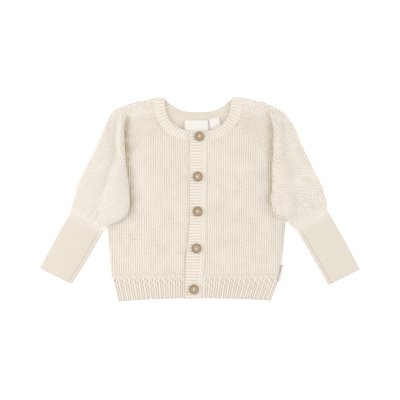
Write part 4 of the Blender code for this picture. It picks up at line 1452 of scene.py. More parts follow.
@dataclass
class Sleeve:
    """A sleeve: its cap at the fronts' level, the pleat on it, the top and the underside.

    Args:
        side: The wearer's side.
        contrast: Contrast of its stitches at the shoulder and at the cuff.
        end_tone: Height share that its stitches even out to at the cuff.
        steps: How finely it is sampled.
        creases: Soft troughs and ridges on its top.
        rows: Grid rows from neck to cuff.
        cap_angle: Lean of the ribs at the shoulder, in degrees from the horizontal.
        arm_angle: Lean of the ribs along the arm.
        bend_at: Plan point where the ribs turn from one to the other, X counted outward.
        rib_wander: How the ribs wander.
        tension: How the knit's contrast varies.
        pucker: Height of the puckers beside the cuff.
        pucker_ribs: Ribs for each pucker.
        pucker_wander: How the puckers wander.
    """

    side: Side
    contrast: Pair
    end_tone: float = 0.55
    steps: SleeveSteps = field(default_factory=SleeveSteps)
    creases: Sequence[Crease] = ()
    rows: int = 256
    cap_angle: float = 83.0
    arm_angle: float = 63.0
    bend_at: Pair = (107.2, 105.0)
    rib_wander: Patch = Patch(0.12, 14.0, 6)
    tension: Patch = Patch(0.4, 9.0, 8)
    pucker: float = 0.5
    pucker_ribs: float = 2.7
    pucker_wander: Patch = Patch(1.6, 16.0, 7)

    def _section(self, row: SleeveRow, back_end: float) -> list[Array]:
        """Stretches of one section as (distance from its outer edge, height) pairs.

        Args:
            row: The section's sizes.
            back_end: Where the back layer ends.

        Returns:
            Cap, pleat, top, outer bend and underside; the pleat is two half turns that
            stand on each other, or a plain slope where it doesn't double back.
        """
        steps, width = self.steps, math.dist(row.outer, row.seam)
        front_z, back_z = LAYERS.front_z, LAYERS.back_z
        rise = LAYERS.fold_rise * row.turn
        edge = width + row.fold
        first = edge - row.tuck
        half = 2 * steps.turn + 1
        if row.tuck > 0:
            radius = rise / 4
            reach = steps.least_reach + steps.pleat_reach * float(soft_step(0.0, 4.0, row.tuck))
            angles = np.linspace(-math.pi / 2, math.pi / 2, steps.turn)
            out_turn = np.stack([first - reach * np.cos(angles),
                                 front_z + radius * (1 + np.sin(angles))], axis=1)
            in_turn = np.stack([edge + reach * np.cos(angles),
                                front_z + radius * (3 + np.sin(angles))], axis=1)
            pleat = np.vstack([out_turn, [[(first + edge) / 2, front_z + 2 * radius]], in_turn])
        else:
            way = evenly(half)
            pleat = np.stack([first - (first - edge) * way,
                              front_z + rise * soft_step(0.0, 1.0, way)], axis=1)
        cap_d = np.linspace(width, pleat[0, 0], steps.cap + 1)[:-1]
        cap = np.stack([cap_d, np.full(steps.cap, front_z)], axis=1)
        way = evenly(steps.top + 1)[1:]
        top_d = pleat[-1, 0] + (steps.bend_reach - pleat[-1, 0]) * way
        crest = min(first, edge)
        settle = rise * soft_step(crest - steps.pleat_slope, crest + 1.0, top_d)
        loft = steps.loft * np.sin(math.pi * way) ** 0.8 * soft_step(15.0, 45.0, edge)
        top = np.stack([top_d, front_z + settle + loft], axis=1)
        angles = np.linspace(math.pi / 2, -math.pi / 2, steps.bend + 2)[1:-1]
        bend = np.stack([steps.bend_reach * (1 - np.cos(angles)),
                         (front_z + back_z) / 2 + (front_z - back_z) / 2 * np.sin(angles)], axis=1)
        under_d = np.linspace(steps.bend_reach, back_end, steps.under)
        under = np.stack([under_d, np.full(steps.under, back_z)], axis=1)
        return [cap, pleat, top, bend, under]

    def _zones(self) -> tuple[slice, slice]:
        """Columns of the cap with its pleat, and of the top."""
        steps = self.steps
        start = steps.cap + 2 * steps.turn + 1
        return slice(0, start), slice(start, start + steps.top)

    def middle(self) -> tuple[Array, Array]:
        """Middle surface, and for each grid row how far it still is to the cuff.

        Returns:
            A smooth curve through the named sections at even distances along the sleeve,
            brought down to the cuff's own section over the last stretch.
        """
        table = SLEEVES[self.side]
        shares = back_share(table)
        grid = []
        for number, row in enumerate(table):
            width = math.dist(row.outer, row.seam)
            section = np.vstack(self._section(row, width * float(shares[number])))
            share = section[:, 0] / width
            plan = section_plan(table, number, share)
            grid.append(np.column_stack([plan, section[:, 1], share]))
        grid = np.array(grid)
        centre = np.array([(np.array(row.outer) + np.array(row.seam)) / 2 for row in table])
        travel = travel_along(centre)
        even = np.linspace(0.0, travel[-1], self.rows)
        fine = through_rows(grid, np.interp(even, travel, np.arange(len(table))))
        left = travel[-1] - even
        height, share = np.maximum(fine[..., 2], LAYERS.back_z), np.clip(fine[..., 3], 0.0, 1.0)
        top = LAYERS.cuff_top + CUFF_SWELL * np.sin(math.pi * share) ** 0.7 - LAYERS.wall / 2
        rise = LAYERS.cuff_top - LAYERS.wall / 2 - LAYERS.back_z
        end = LAYERS.back_z + (height - LAYERS.back_z) * (rise / (LAYERS.front_z - LAYERS.back_z))
        upper = slice(0, self._zones()[1].stop)
        end[:, upper] = top[:, upper]
        near = soft_step(24.0, 0.0, left)[:, None]
        return np.dstack([fine[..., :2], height + (end - height) * near]), left

    def _numbers(self, middle: Array) -> tuple[Array, Array]:
        """Rib and stitch numbers.

        Args:
            middle: Middle surface.

        Returns:
            Distances across and along the ribs' direction in pitches. The direction is the
            shoulder's on the cap; on the top it turns to the arm's below a line across the
            ribs, by a soft minimum of the two rib numbers.
        """
        outward = middle[..., 0] * self.side.value - self.bend_at[0]
        height = middle[..., 1] - self.bend_at[1]
        found = []
        for angle in (self.cap_angle, self.arm_angle):
            sine, cosine = math.sin(math.radians(angle)), math.cos(math.radians(angle))
            found.append(((outward * sine + height * cosine) / BODY_PITCH,
                          (outward * cosine - height * sine) / STITCH_PITCH))
        (cap_rib, cap_row), (arm_rib, arm_row) = found
        share = soft_step(-1.5, 1.5, cap_rib - arm_rib)
        cap_zone, _ = self._zones()
        share[:, cap_zone] = 0.0
        return cap_rib + (arm_rib - cap_rib) * share, cap_row + (arm_row - cap_row) * share

    def _shape_top(self, middle: Array, ribs: Array, left: Array) -> None:
        """Raise the puckers beside the cuff and the creases on the top, in place.

        Args:
            middle: Middle surface.
            ribs: Rib numbers.
            left: How far each grid row is from the cuff.
        """
        _, zone = self._zones()
        x, y = middle[:, zone, 0], middle[:, zone, 1]
        near = soft_step(30.0, 1.0, left)[:, None] * soft_step(0.0, 10.0, left)[:, None]
        fade = np.sin(math.pi * np.linspace(0, 1, self.steps.top)) ** 0.5
        phase = math.tau * ribs[:, zone] / self.pucker_ribs + self.pucker_wander.at(x, y)
        middle[:, zone, 2] += self.pucker * near * fade * np.cos(phase) + (
            fade * creased(x, y, self.creases) * soft_step(0.0, 12.0, left)[:, None])

    def build(self, material: Material) -> None:
        middle, left = self.middle()
        ribs, rows = self._numbers(middle)
        x, y = middle[..., 0], middle[..., 1]
        ribs = ribs + self.rib_wander.at(x, y)
        self._shape_top(middle, ribs, left)
        relief = uneven(ARM_KNIT.relief(ribs, rows), self.tension.at(x, y))
        cap_zone, _ = self._zones()
        full = np.full(middle.shape[1], 0.84 * ARM_KNIT.height)
        full[cap_zone] = ARM_KNIT.height
        marks = marks_of(ribs, rows, relief, full)
        mean = float(marks[..., 2].mean())
        high, low = self.contrast
        gain = low + (high - low) * soft_step(-10.0, 60.0, y)
        marks[..., 2] = mean + (marks[..., 2] - mean) * gain
        end = soft_step(15.0, 0.0, left)[:, None]
        marks[..., 2] += 0.75 * end * (self.end_tone - marks[..., 2])
        relief = relief * (1.0 - 0.85 * end)
        # Painted shade and bounced light beside the fold; on the pleat's last half turn they fade
        # out towards its top.
        turned = np.ones(cap_zone.stop)
        turned[-self.steps.turn:] = soft_step(1.0, 0.0, evenly(self.steps.turn))
        FOLDS[self.side].apply(marks[:, cap_zone], x[:, cap_zone], y[:, cap_zone], turned)
        if self.side is Side.RIGHT:
            middle, relief, marks = middle[:, ::-1], relief[:, ::-1], marks[:, ::-1]
        ratio, word = 6, self.side.word
        spare = (middle.shape[1] - 1) % ratio
        if spare:
            cut = slice(None, -spare) if self.side is Side.LEFT else slice(spare, None)
            middle, relief, marks = middle[:, cut], relief[:, cut], marks[:, cut]
        Shell(f"{word}_sleeve", middle, LAYERS.wall, relief, marks, ratio,
              top_relief=ARM_KNIT.height, square=("low",)).lay(
                  material, Slot.KNIT, "back_panel", f"{word}_front_knit", held="folded")


@dataclass
class Cuff:
    """A long cuff in a fine rib, pressed flat.

    Args:
        side: The wearer's side.
        ribs: Ribs across its top face.
        rows: Grid rows from join to open end.
        crest: Grid columns on the top face.
        under: Grid columns on the underside.
        seam_at: Distance of the sewn seam from the inner edge.
        seam_half: Half width of the groove along it.
        bumps: How the top's height wanders.
    """

    side: Side
    ribs: int = 23
    rows: int = 100
    crest: int = 133
    under: int = 41
    seam_at: float = 4.6
    seam_half: float = 0.75
    bumps: Patch = Patch(0.3, 19.0, 9)

    def build(self, material: Material) -> None:
        """Make the cuff: flattened sections from the join to the open end."""
        sizes = CUFFS[self.side]
        down = evenly(self.rows)[:, None]
        (join_out, join_in), (end_out, end_in) = sizes.join, sizes.end
        outer = np.array(join_out) + (np.array(end_out) - np.array(join_out)) * down
        inner = np.array(join_in) + (np.array(end_in) - np.array(join_in)) * down
        outer[:, 0] += sizes.outer_bow * np.sin(math.pi * down[:, 0])
        inner[:, 0] += sizes.inner_bow * np.sin(math.pi * down[:, 0])
        width = np.linalg.norm(inner - outer, axis=1)[:, None]
        inward = (inner - outer) / width
        low, high = LAYERS.cuff_wall / 2, LAYERS.cuff_wall * 1.5 + LAYERS.layer
        radius = (high - low) / 2
        share = evenly(self.crest)
        swell = CUFF_SWELL * np.sin(math.pi * share) ** 0.7
        angles = np.linspace(math.pi / 2, -math.pi / 2, 11)[1:-1]
        back = np.linspace(1.0, 0.0, self.under)
        flat = np.ones_like(width)
        reach = np.hstack([radius + (width - 2 * radius) * share,
                           width - radius + radius * np.cos(angles),
                           radius + (width - 2 * radius) * back,
                           radius * (1 - np.cos(angles)) * flat])
        height = np.hstack([(high + swell) * flat, (low + radius * (1 + np.sin(angles))) * flat,
                            low * np.ones_like(back) * flat,
                            (low + radius * (1 - np.sin(angles))) * flat])
        plan = outer[:, None] + inward[:, None] * reach[..., None]
        middle = np.dstack([plan, height])
        across = (reach - radius) / (width - 2 * radius)
        long = float(np.linalg.norm(np.array(end_out) - np.array(join_out)))
        ribs = across * self.ribs
        rows = down * long / FINE_STITCH_PITCH + np.zeros_like(reach)
        relief = CUFF_KNIT.relief(ribs, rows)
        x, y = middle[..., 0], middle[..., 1]
        on_top = np.r_[np.ones(self.crest), np.zeros(reach.shape[1] - self.crest)]
        groove = np.exp(-(((width - reach - self.seam_at) / self.seam_half) ** 2)) * on_top
        relief = relief * (1 - 0.8 * groove)
        bumps = self.bumps.at(x, y) * np.sin(math.pi * np.clip(across, 0, 1))
        middle[..., 2] += on_top * (bumps - 0.32 * groove)
        marks = marks_of(ribs, rows, relief * (1 - 0.45 * groove), CUFF_KNIT.height)
        marks[..., 2] += 0.25 * soft_step(9.0, 0.0, down * long)
        if self.side is Side.LEFT:
            middle, relief, marks = middle[:, ::-1], relief[:, ::-1], marks[:, ::-1]
        Shell(f"{self.side.word}_cuff", middle, LAYERS.cuff_wall, relief, marks,
              wrap=True, top_relief=CUFF_KNIT.height, square=("top",)).lay(material, Slot.CUFF)


# ---- neckband and bands


def neck_arc(half: float, depth: float, power: float, share: Array) -> Array:
    """A quarter of a squared-off ellipse as (reach, y) pairs.

    Args:
        half: Half width.
        depth: Depth below the corner.
        power: Squareness.
        share: 0 at the lowest point, 1 at the corner.

    Returns:
        sin^(2/power) and cos^(2/power) of the quarter turn, scaled.
    """
    angle = share * math.pi / 2
    reach = np.sin(angle) ** (2 / power) * half
    return np.stack([reach, NECK.top - np.cos(angle) ** (2 / power) * depth], axis=1)


def neck_slope(half: float, depth: float, share: Array) -> Array:
    """The back's inner edge as (reach, y) pairs: straight down from the corner, then level.

    Args:
        half: Half width.
        depth: Depth below the corner.
        share: 0 at the lowest point, 1 at the corner.

    Returns:
        The reach is half * cos(((1 - share)^pace) * pi / 2). With f = slope * (1 - that
        cosine)^start, the drop is depth * (1 + f^-turn)^(-1/turn).
    """
    reach = np.cos((1.0 - share) ** NECK.back_pace * math.pi / 2)
    fall = NECK.back_slope * np.maximum(1.0 - reach, 1e-4) ** NECK.back_start
    drop = depth * (1.0 + fall**-NECK.back_turn) ** (-1.0 / NECK.back_turn)
    return np.stack([reach * half, NECK.top - drop], axis=1)


@dataclass
class Neckband:
    """The ribbed strip round the neck: both fronts, folded at the corners, and the back.

    Args:
        step: Grid step along the strip.
        across: Grid rows across it.
        clear: Clearance to the placket.
        wide: Width over which its stitches are counted.
        level: Heights y between which the fronts' swell fades towards the corners.
    """

    step: float = 0.65
    across: int = 24
    clear: float = 0.3
    wide: float = 15.0
    level: Pair = (132.0, 110.0)

    def _front(self, sign: int, end_x: float) -> tuple[Array, Array]:
        """Inner and outer edge of one front stretch, from the placket up to the corner."""
        share = evenly(60)
        inner = neck_arc(NECK.in_half, NECK.front_in, NECK.front_power, share)
        outer = neck_arc(NECK.out_half, NECK.front_out, NECK.front_power, share)
        start = abs(end_x - NECK.x)
        first_in = [start, np.interp(start, inner[:, 0], inner[:, 1])]
        first_out = [start, np.interp(start, outer[:, 0], outer[:, 1])]
        least_gap = 1.5
        keep = NECK.x * sign + outer[:, 0] - sign * end_x > least_gap
        inner, outer = np.vstack([first_in, inner[keep]]), np.vstack([first_out, outer[keep]])
        turned = np.array([sign, 1.0])
        shift = np.array([NECK.x, 0.0])
        return inner * turned + shift, outer * turned + shift

    def _raised(self, plan: Array) -> Array:
        """Points of a front stretch at the front layer's height."""
        x, y = plan[:, 0], plan[:, 1]
        return np.column_stack([plan, LAYERS.front_z + front_lift(x, y) * soft_step(*self.level, y)])

    def _corner(self, sign: int, half: float, back_last: bool) -> Array:
        """The fold at a corner: a half turn from the front layer's height to the back's."""
        angles = np.linspace(math.pi / 2, -math.pi / 2, 9)[::1 if back_last else -1]
        radius = (LAYERS.front_z - LAYERS.back_z) / 2
        middle = (LAYERS.front_z + LAYERS.back_z) / 2
        edge = np.full(len(angles), NECK.x + sign * half)
        return np.stack([edge, NECK.top + radius * np.cos(angles),
                         middle + radius * np.sin(angles)], axis=1)

    def edges(self) -> tuple[Array, Array]:
        """Inner and outer edge of the whole strip, from the right front round to the left."""
        right = self._front(-1, float(band_edge(1, PLACKET_TOP)) - self.clear)
        left = self._front(1, float(band_edge(2, PLACKET_TOP)) + self.clear)
        share = np.linspace(1.0, 0.0, 60)
        found = []
        outer_arc = neck_arc(NECK.out_half, NECK.back_out, NECK.back_out_power, share)
        backs = ((NECK.in_half, neck_slope(NECK.in_half, NECK.back_in, share)),
                 (NECK.out_half, outer_arc))
        for place, (half, arc) in enumerate(backs):
            plan = np.vstack([arc[:-1] * [-1, 1], arc[::-1]]) + [NECK.x, 0.0]
            back = np.column_stack([plan, np.full(len(plan), LAYERS.back_z)])[1:-1]
            found.append(np.vstack([self._raised(right[place])[:-1], self._corner(-1, half, True),
                                    back, self._corner(1, half, False),
                                    self._raised(left[place])[::-1][1:]]))
        return found[0], found[1]

    def build(self, material: Material) -> None:
        """Make the strip: straight lines across, evenly spaced along its centre."""
        inner, outer = self.edges()
        travel = travel_along((inner + outer) / 2)
        even = np.linspace(0.0, travel[-1], counted(travel[-1], self.step))
        inner, outer = read_along(inner, travel, even), read_along(outer, travel, even)
        across = evenly(self.across)[:, None, None]
        middle = (inner + (outer - inner) * across)[:, ::-1]
        ribs = np.broadcast_to(even[::-1] / NECK_PITCH, middle.shape[:2])
        rows = across[..., 0] * self.wide / FINE_STITCH_PITCH + np.zeros_like(ribs)
        relief = NECK_KNIT.relief(ribs, rows)
        end = soft_step(1.0, 0.86, across[..., 0])
        relief = relief * end + 0.4 * NECK_KNIT.height * (1.0 - end)
        marks = marks_of(ribs, rows, relief, NECK_KNIT.height)
        # Contrast evens out on the back stretch and towards the outer edge; the back stretch, lying
        # lower than the fronts, also gets painted shade (height share less 0.2).
        back = soft_step(3.0, 1.2, middle[..., 2])
        soft = np.maximum(0.45 * back, 0.6 * soft_step(0.25, 1.0, across[..., 0]))
        marks[..., 2] += soft * (0.6 - marks[..., 2]) - 0.2 * back
        Shell("neckband", middle, LAYERS.wall, relief, marks, ratio=1,
              carve=NECK_KNIT.height).lay(material, Slot.RIB, "back_panel_knit")


@dataclass
class Placket:
    """The button band and the ribbed buttonhole band over it.

    Args:
        step: Grid step across and along.
        chain_share: Where, across the upper band, its ribs end and the linked edge starts.
        chain_pitch: Pitch of the linked edge's stitches.
        long: Length by which grid rows are counted.
        wander: How the ribs wander.
        wave: Height and length of the upper band's wave.
    """

    step: float = 0.62
    chain_share: float = 0.74
    chain_pitch: float = 2.7
    long: float = 226.0
    wander: Patch = Patch(0.06, 12.0, 11)
    wave: Pair = (0.25, 47.0)

    def _grid(self, rows: int, columns: int, rise: float, trim: float) -> Array:
        """Middle surface of a band, rise above the front layer and trimmed on both sides."""
        share = evenly(columns)
        top_y, low_y = NECK.top - NECK.front_in - 0.2, HEM_MIDDLE - 0.2
        y = top_y + (low_y - top_y) * evenly(rows)[:, None] + np.zeros(columns)
        left = band_edge(1, y[:, 0])[:, None] + trim
        right = band_edge(2, y[:, 0])[:, None] - trim
        x = left + (right - left) * share
        z = LAYERS.front_z + front_lift(np.minimum(x, 0.0), y) + rise
        return np.stack([x, y, z], axis=-1)

    def build(self, material: Material) -> None:
        upper = self._grid(counted(self.long, self.step), counted(23.0, 0.7, 4),
                           rise=LAYERS.band_rise, trim=0.0)
        share = np.broadcast_to(evenly(upper.shape[1]), upper.shape[:2])
        x, y = upper[..., 0], upper[..., 1]
        ribs = y / BAND_PITCH + self.wander.at(x, y)
        relief = BAND_KNIT.relief(ribs, x / FINE_STITCH_PITCH)
        linked = soft_step(self.chain_share - 0.02, self.chain_share + 0.02, share)
        link_rib = (share - self.chain_share) / (1.0 - self.chain_share) * 2.0 - 0.5
        link = NECK_KNIT.relief(link_rib, y / self.chain_pitch)
        relief = relief * (1 - linked) + link * linked
        high, length = self.wave
        upper[..., 2] += high * np.cos(math.tau * y / length) * (share - 0.5)
        marks = marks_of(ribs, x / FINE_STITCH_PITCH, relief, BAND_KNIT.height)
        Shell("buttonhole_band", upper, LAYERS.wall, relief, marks, rounding=1.4).lay(
            material, Slot.RIB, "button_band_knit")
        lower = self._grid(counted(self.long, 1.5), counted(20.0, 1.0, 4), rise=0.0, trim=1.0)
        ribs, rows = lower[..., 1] / BAND_PITCH, lower[..., 0] / FINE_STITCH_PITCH
        relief = 0.3 * BAND_KNIT.relief(ribs, rows)
        marks = marks_of(ribs, rows, relief, BAND_KNIT.height)
        Shell("button_band", lower, LAYERS.wall, relief, marks).lay(
            material, Slot.RIB, "back_panel_knit")


# ---- seams and thread


@dataclass
class Tube:
    """A yarn, thread or linked seam along a path.

    Args:
        name: The piece's name.
        path: Points in millimetres.
        radius: Its radius.
        flat: Height as a share of the width.
        pitch: Length of a stitch; 0 for a plain thread.
        neck: How much it narrows between stitches.
        around: Points round it.
        step: Grid step along it.
        shade: How much it lies in shade, as one number or one for each point of the path.
    """

    name: str
    path: Array
    radius: float
    flat: float = 1.0
    pitch: float = 0.0
    neck: float = 0.35
    around: int = 10
    step: float = 0.45
    shade: Array | float = 0.0

    def surface(self) -> tuple[Array, Array]:
        """Ring points and shader numbers.

        Returns:
            Rings across the path's direction; the radius swells as |cos| once a stitch and
            closes at both ends.
        """
        travel = travel_along(self.path)
        even = np.linspace(0.0, travel[-1], max(6, round(travel[-1] / self.step)))
        points = read_along(self.path, travel, even)
        forward = np.gradient(points, axis=0)
        forward /= np.linalg.norm(forward, axis=1, keepdims=True)
        side = np.cross(forward, [0.0, 0.0, 1.0])
        side /= np.maximum(np.linalg.norm(side, axis=1, keepdims=True), 1e-9)
        up = np.cross(side, forward)
        radius = np.full(len(even), self.radius)
        if self.pitch:
            radius *= 1 - self.neck * (1 - np.abs(np.cos(math.pi * even / self.pitch)))
        ends = np.minimum(even, even[-1] - even) / self.radius
        radius = radius * np.sqrt(np.clip(1 - (1 - np.clip(ends, 0.02, 1)) ** 2, 0, 1))
        angles = np.linspace(0.0, math.tau, self.around, endpoint=False)
        ring = (np.cos(angles)[None, :, None] * side[:, None]
                + self.flat * np.sin(angles)[None, :, None] * up[:, None])
        grid = points[:, None] + ring * radius[:, None, None]
        rows = np.broadcast_to((even / (self.pitch or 1.0))[:, None], grid.shape[:2])
        shade = np.interp(even, travel, np.broadcast_to(self.shade, travel.shape))
        # Height share: lower in the necks between stitches (painted shade), and lowered further by
        # the painted shade number.
        share = np.broadcast_to((radius / self.radius - shade)[:, None], grid.shape[:2])
        ribs = np.broadcast_to(angles / (math.tau), grid.shape[:2])
        return grid, np.stack([ribs, rows, share], axis=-1)

    def build(self, material: Material, slot: Slot) -> None:
        """Make the closed tube and dress it."""
        grid, marks = self.surface()
        count = grid.shape[0] * self.around
        ids = np.arange(count).reshape(grid.shape[:2])
        faces = [quads(np.hstack([ids, ids[:, :1]])), ids[:1], ids[-1:, ::-1]]
        points = grid.reshape(-1, 3) * MM
        dress(new_object(self.name, points, faces, marks.reshape(-1, 3), material), slot)


@dataclass
class Seams:
    """The sewn and linked seams between the knitted pieces."""

    material: Material

    def _line(self, name: str, plan: Array, z: Array | float, radius: float, pitch: float,
              flat: float = 0.6, shade: Array | float = 0.0) -> None:
        """One linked seam at height z above plan points, shaded by a share along it."""
        height = np.broadcast_to(z, (len(plan),))
        Tube(name, np.column_stack([plan, height]), radius, flat, pitch, shade=shade).build(
            self.material, Slot.KNIT)

    def build(self) -> None:
        """Make the raglan, neck, side and cuff seams."""
        z = LAYERS.front_z
        for side in Side:
            word, sign = side.word, side.value
            seam = raglan_points(side)
            seam = through_rows(seam, np.linspace(0.0, len(seam) - 1.0, 90))
            lift = front_lift(seam[:, 0], seam[:, 1])
            self._line(f"{word}_raglan_seam", seam, z + 0.3 + lift, 0.9, STITCH_PITCH,
                       shade=0.22 + 0.7 * FOLDS[side].shade(seam[:, 0], seam[:, 1]))
            top, middle, low = (np.array(point) for point in SIDES[side])
            way = evenly(40)[:, None]
            upper, lower = top + (middle - top) * way, middle + (low - middle) * way
            plan = np.vstack([upper, lower[1:]]) - [sign * 1.3, 0.0]
            self._line(f"{word}_side_seam", plan[3:-1], 2.15, 1.9, STITCH_PITCH, flat=0.95)
            sizes = CUFFS[side]
            join = np.array(sizes.join[0]) + (np.array(sizes.join[1]) - sizes.join[0]) * way
            rise = LAYERS.cuff_top + CUFF_SWELL * np.sin(math.pi * way[:, 0]) ** 0.7 - 0.5
            self._line(f"{word}_cuff_seam", join[1:-1], rise[1:-1], 0.9, 0.0)
        # Each band seam: side, edge column, shift, rise, radius and painted shade along it; below 0
        # that is painted light.
        bands = (("right", 1, -0.1, 0.7, 1.3, 0.55), ("left", 2, 0.2, 1.9, 1.4, -0.2))
        for word, column, shift, rise, radius, shade in bands:
            y = np.linspace(91.0, -132.8, 160)
            x = band_edge(column, y) + shift
            lift = front_lift(np.minimum(x, 0.0), y)
            self._line(f"{word}_band_seam", np.stack([x, y], axis=1), z + rise + lift, radius, 2.7,
                       shade=shade * soft_step(60.0, -20.0, y))
        _, outer = Neckband().edges()
        front_from = 2.6
        count = int(np.argmin(outer[:, 2] > front_from))
        for word, part in (("right", outer[:count]), ("left", outer[::-1][:count])):
            self._line(f"{word}_neck_seam", part[:-1, :2], part[:-1, 2] + 0.6, 0.9, 2.4, shade=0.05)


# ---- buttons, labels


@dataclass
class Button:
    """A turned wooden disc with a raised rim, a dished middle and four threaded holes.

    Args:
        number: From the neck down.
        x, y: Place.
        turn: How far it is turned, in degrees.
        radius: Its radius.
        thick: Its thickness.
        dish: Depth of the middle.
        hole: Radius of a hole.
        hole_ring: Distance of the holes from the middle.
        shank: Height of its underside above the band's plain face.
    """

    number: int
    x: float
    y: float
    turn: float = 0.0
    radius: float = 6.5
    thick: float = 2.8
    dish: float = 0.8
    hole: float = 0.9
    hole_ring: float = 1.75
    shank: float = 0.85

    @property
    def low(self) -> float:
        """Height of the button's underside."""
        lift = float(front_lift(np.array(min(self.x, 0.0)), np.array(self.y)))
        return LAYERS.front_z + LAYERS.band_rise + LAYERS.wall / 2 + self.shank + lift

    def _hole_centres(self) -> Array:
        """Middles of the four holes, relative to the button's."""
        angles = math.radians(self.turn) + math.pi / 4 + math.pi / 2 * np.arange(4)
        return self.hole_ring * np.stack([np.cos(angles), np.sin(angles)], axis=1)

    def build(self, wood: Material, thread: Material) -> None:
        """Make the disc and its thread.

        The top height is flat in the dish, rises to the rim by a soft step and rounds off at
        the edge; a soft step round each hole's middle sinks the hole through the dish.
        """
        around, rings = 96, 44
        angles = np.linspace(0.0, math.tau, around, endpoint=False)
        share = np.r_[np.linspace(0.02, 0.9, rings), 0.94, 0.97, 0.99, 1.0]
        radius = share[:, None] * self.radius
        x, y = radius * np.cos(angles), radius * np.sin(angles)
        near = np.min([np.hypot(x - cx, y - cy) for cx, cy in self._hole_centres()], axis=0)
        open_share = soft_step(self.hole * 1.15, self.hole * 0.75, near)
        rim = soft_step(0.5, 0.74, share)[:, None]
        groove = 0.12 * np.exp(-(((share - 0.5) / 0.03) ** 2))[:, None]
        edge = np.sqrt(np.clip(1 - (np.clip(share - 0.88, 0, 1) / 0.12) ** 2, 0, 1))[:, None]
        top = (self.thick - self.dish * (1 - rim) - groove - 1.7 * open_share)
        top = self.thick * 0.45 + (top - self.thick * 0.45) * edge
        under_share = np.array([0.99, 0.94, 0.75, 0.4, 0.02])[:, None]
        under = np.dstack([under_share * self.radius * np.cos(angles),
                           under_share * self.radius * np.sin(angles),
                           np.array([1.0, 0.45, 0.0, 0.0, 0.0])[:, None] + np.zeros(around)])
        upper = np.dstack([x, y, top])
        grid = np.vstack([upper, under])
        level = np.r_[share, under_share[:, 0]][:, None] + np.zeros(around)
        clear = np.vstack([1.0 - open_share, np.full((5, around), 1.0)])
        marks = np.stack([level, np.broadcast_to(angles, level.shape), clear], axis=-1)
        ids = np.arange(grid.shape[0] * around).reshape(-1, around)
        loop = np.hstack([ids, ids[:, :1]])
        faces = [quads(loop), ids[:1], ids[-1:, ::-1]]
        points = grid.reshape(-1, 3) + [self.x, self.y, self.low]
        name = f"button_{self.number}"
        item = new_object(f"{name}_wood", points * MM, faces, marks.reshape(-1, 3), wood)
        dress(item, Slot.WOOD, name)
        self._thread(thread)

    def _thread(self, material: Material) -> None:
        """Two crossed stitches of thread through the holes."""
        centres = self._hole_centres()
        way = evenly(15)
        arch = self.low + self.thick - self.dish - 0.9 + 1.5 * np.sin(math.pi * way) ** 0.4
        for number, (first, second) in enumerate(((0, 2), (1, 3))):
            plan = centres[first] + (centres[second] - centres[first]) * way[:, None]
            lifted = arch + 0.35 * number * np.sin(math.pi * way)
            path = np.column_stack([plan + [self.x, self.y], lifted])
            Tube(f"button_{self.number}_thread_{number + 1}", path, 0.5, pitch=1.1, neck=0.15,
                 step=0.2).build(material, Slot.WOOD)


@dataclass
class Label:
    """A small woven tape, left bare.

    Args:
        node: The node that it stands for.
        middle: Plan point of its middle.
        half: Half width and half height.
        turn: How far it is turned, in degrees.
        z: Middle height.
    """

    node: str
    middle: Pair
    half: Pair
    turn: float
    z: float

    def build(self, material: Material) -> None:
        """Make the tape: flat, with its ends turned under and a little wave."""
        across = np.linspace(-self.half[0], self.half[0], 61)
        down = np.linspace(self.half[1], -self.half[1], 31)
        u, v = np.meshgrid(across, down)
        angle = math.radians(self.turn)
        x = self.middle[0] + u * math.cos(angle) - v * math.sin(angle)
        y = self.middle[1] + u * math.sin(angle) + v * math.cos(angle)
        wave = 0.12 * np.cos(math.tau * u / 21.0) * np.cos(math.pi * v / 19.0)
        grid = np.stack([x, y, self.z + wave], axis=-1)
        side = self.half[0] - np.abs(u)
        relief = 0.12 * soft_step(2.6, 2.3, side) - 0.1 * np.exp(-(((side - 1.2) / 0.2) ** 2))
        marks = np.stack([u, v, np.ones_like(u)], axis=-1)
        Shell(self.node, grid, LAYERS.tape_wall, relief, marks, rounding=0.4, kind="tape").lay(
            material, Slot.TAPE, "back_panel_knit")


@dataclass
class SideTab:
    """A folded tape that stands out of the left side seam, left bare.

    Args:
        top: Plan point of its upper corner on the seam.
        foot: Plan point of its lower corner.
        out: How far it stands out.
        inset: How far it reaches in.
        rise: Height above the front layer at the seam.
        droop: How much lower its fold hangs.
    """

    top: Pair = (111.9, -88.0)
    foot: Pair = (106.4, -110.4)
    out: float = 2.5
    inset: float = 1.5
    rise: float = 2.75
    droop: float = 0.5

    def build(self, material: Material) -> None:
        """Make the tab as a flat strip with a rounded fold."""
        top, foot = np.array(self.top), np.array(self.foot)
        run = (foot - top) / np.linalg.norm(foot - top)
        outward = np.array([-run[1], run[0]])
        outward = outward if outward[0] > 0 else -outward
        share = np.linspace(-self.inset, self.out, 25)
        down = evenly(61)[:, None, None]
        plan = top + (foot - top) * down + outward * share[None, :, None]
        droop = self.droop * soft_step(0.0, self.out, share)
        z = np.broadcast_to(LAYERS.front_z + self.rise - droop, plan.shape[:2])
        grid = np.dstack([plan, z])
        u, v = np.meshgrid(share, down[:, 0, 0] * 23.2)
        # The third number falls along the inner edge, where the tape gets painted shade as it comes
        # out of the seam.
        marks = np.stack([u, v, 1.0 - 0.9 * np.exp(-(((u + self.inset) / 0.9) ** 2))], axis=-1)
        Shell("side_label", grid, LAYERS.tape_wall, np.zeros_like(u), marks, rounding=0.5,
              kind="tape").lay(material, Slot.TAPE, "left_front_knit")


# ---- stage


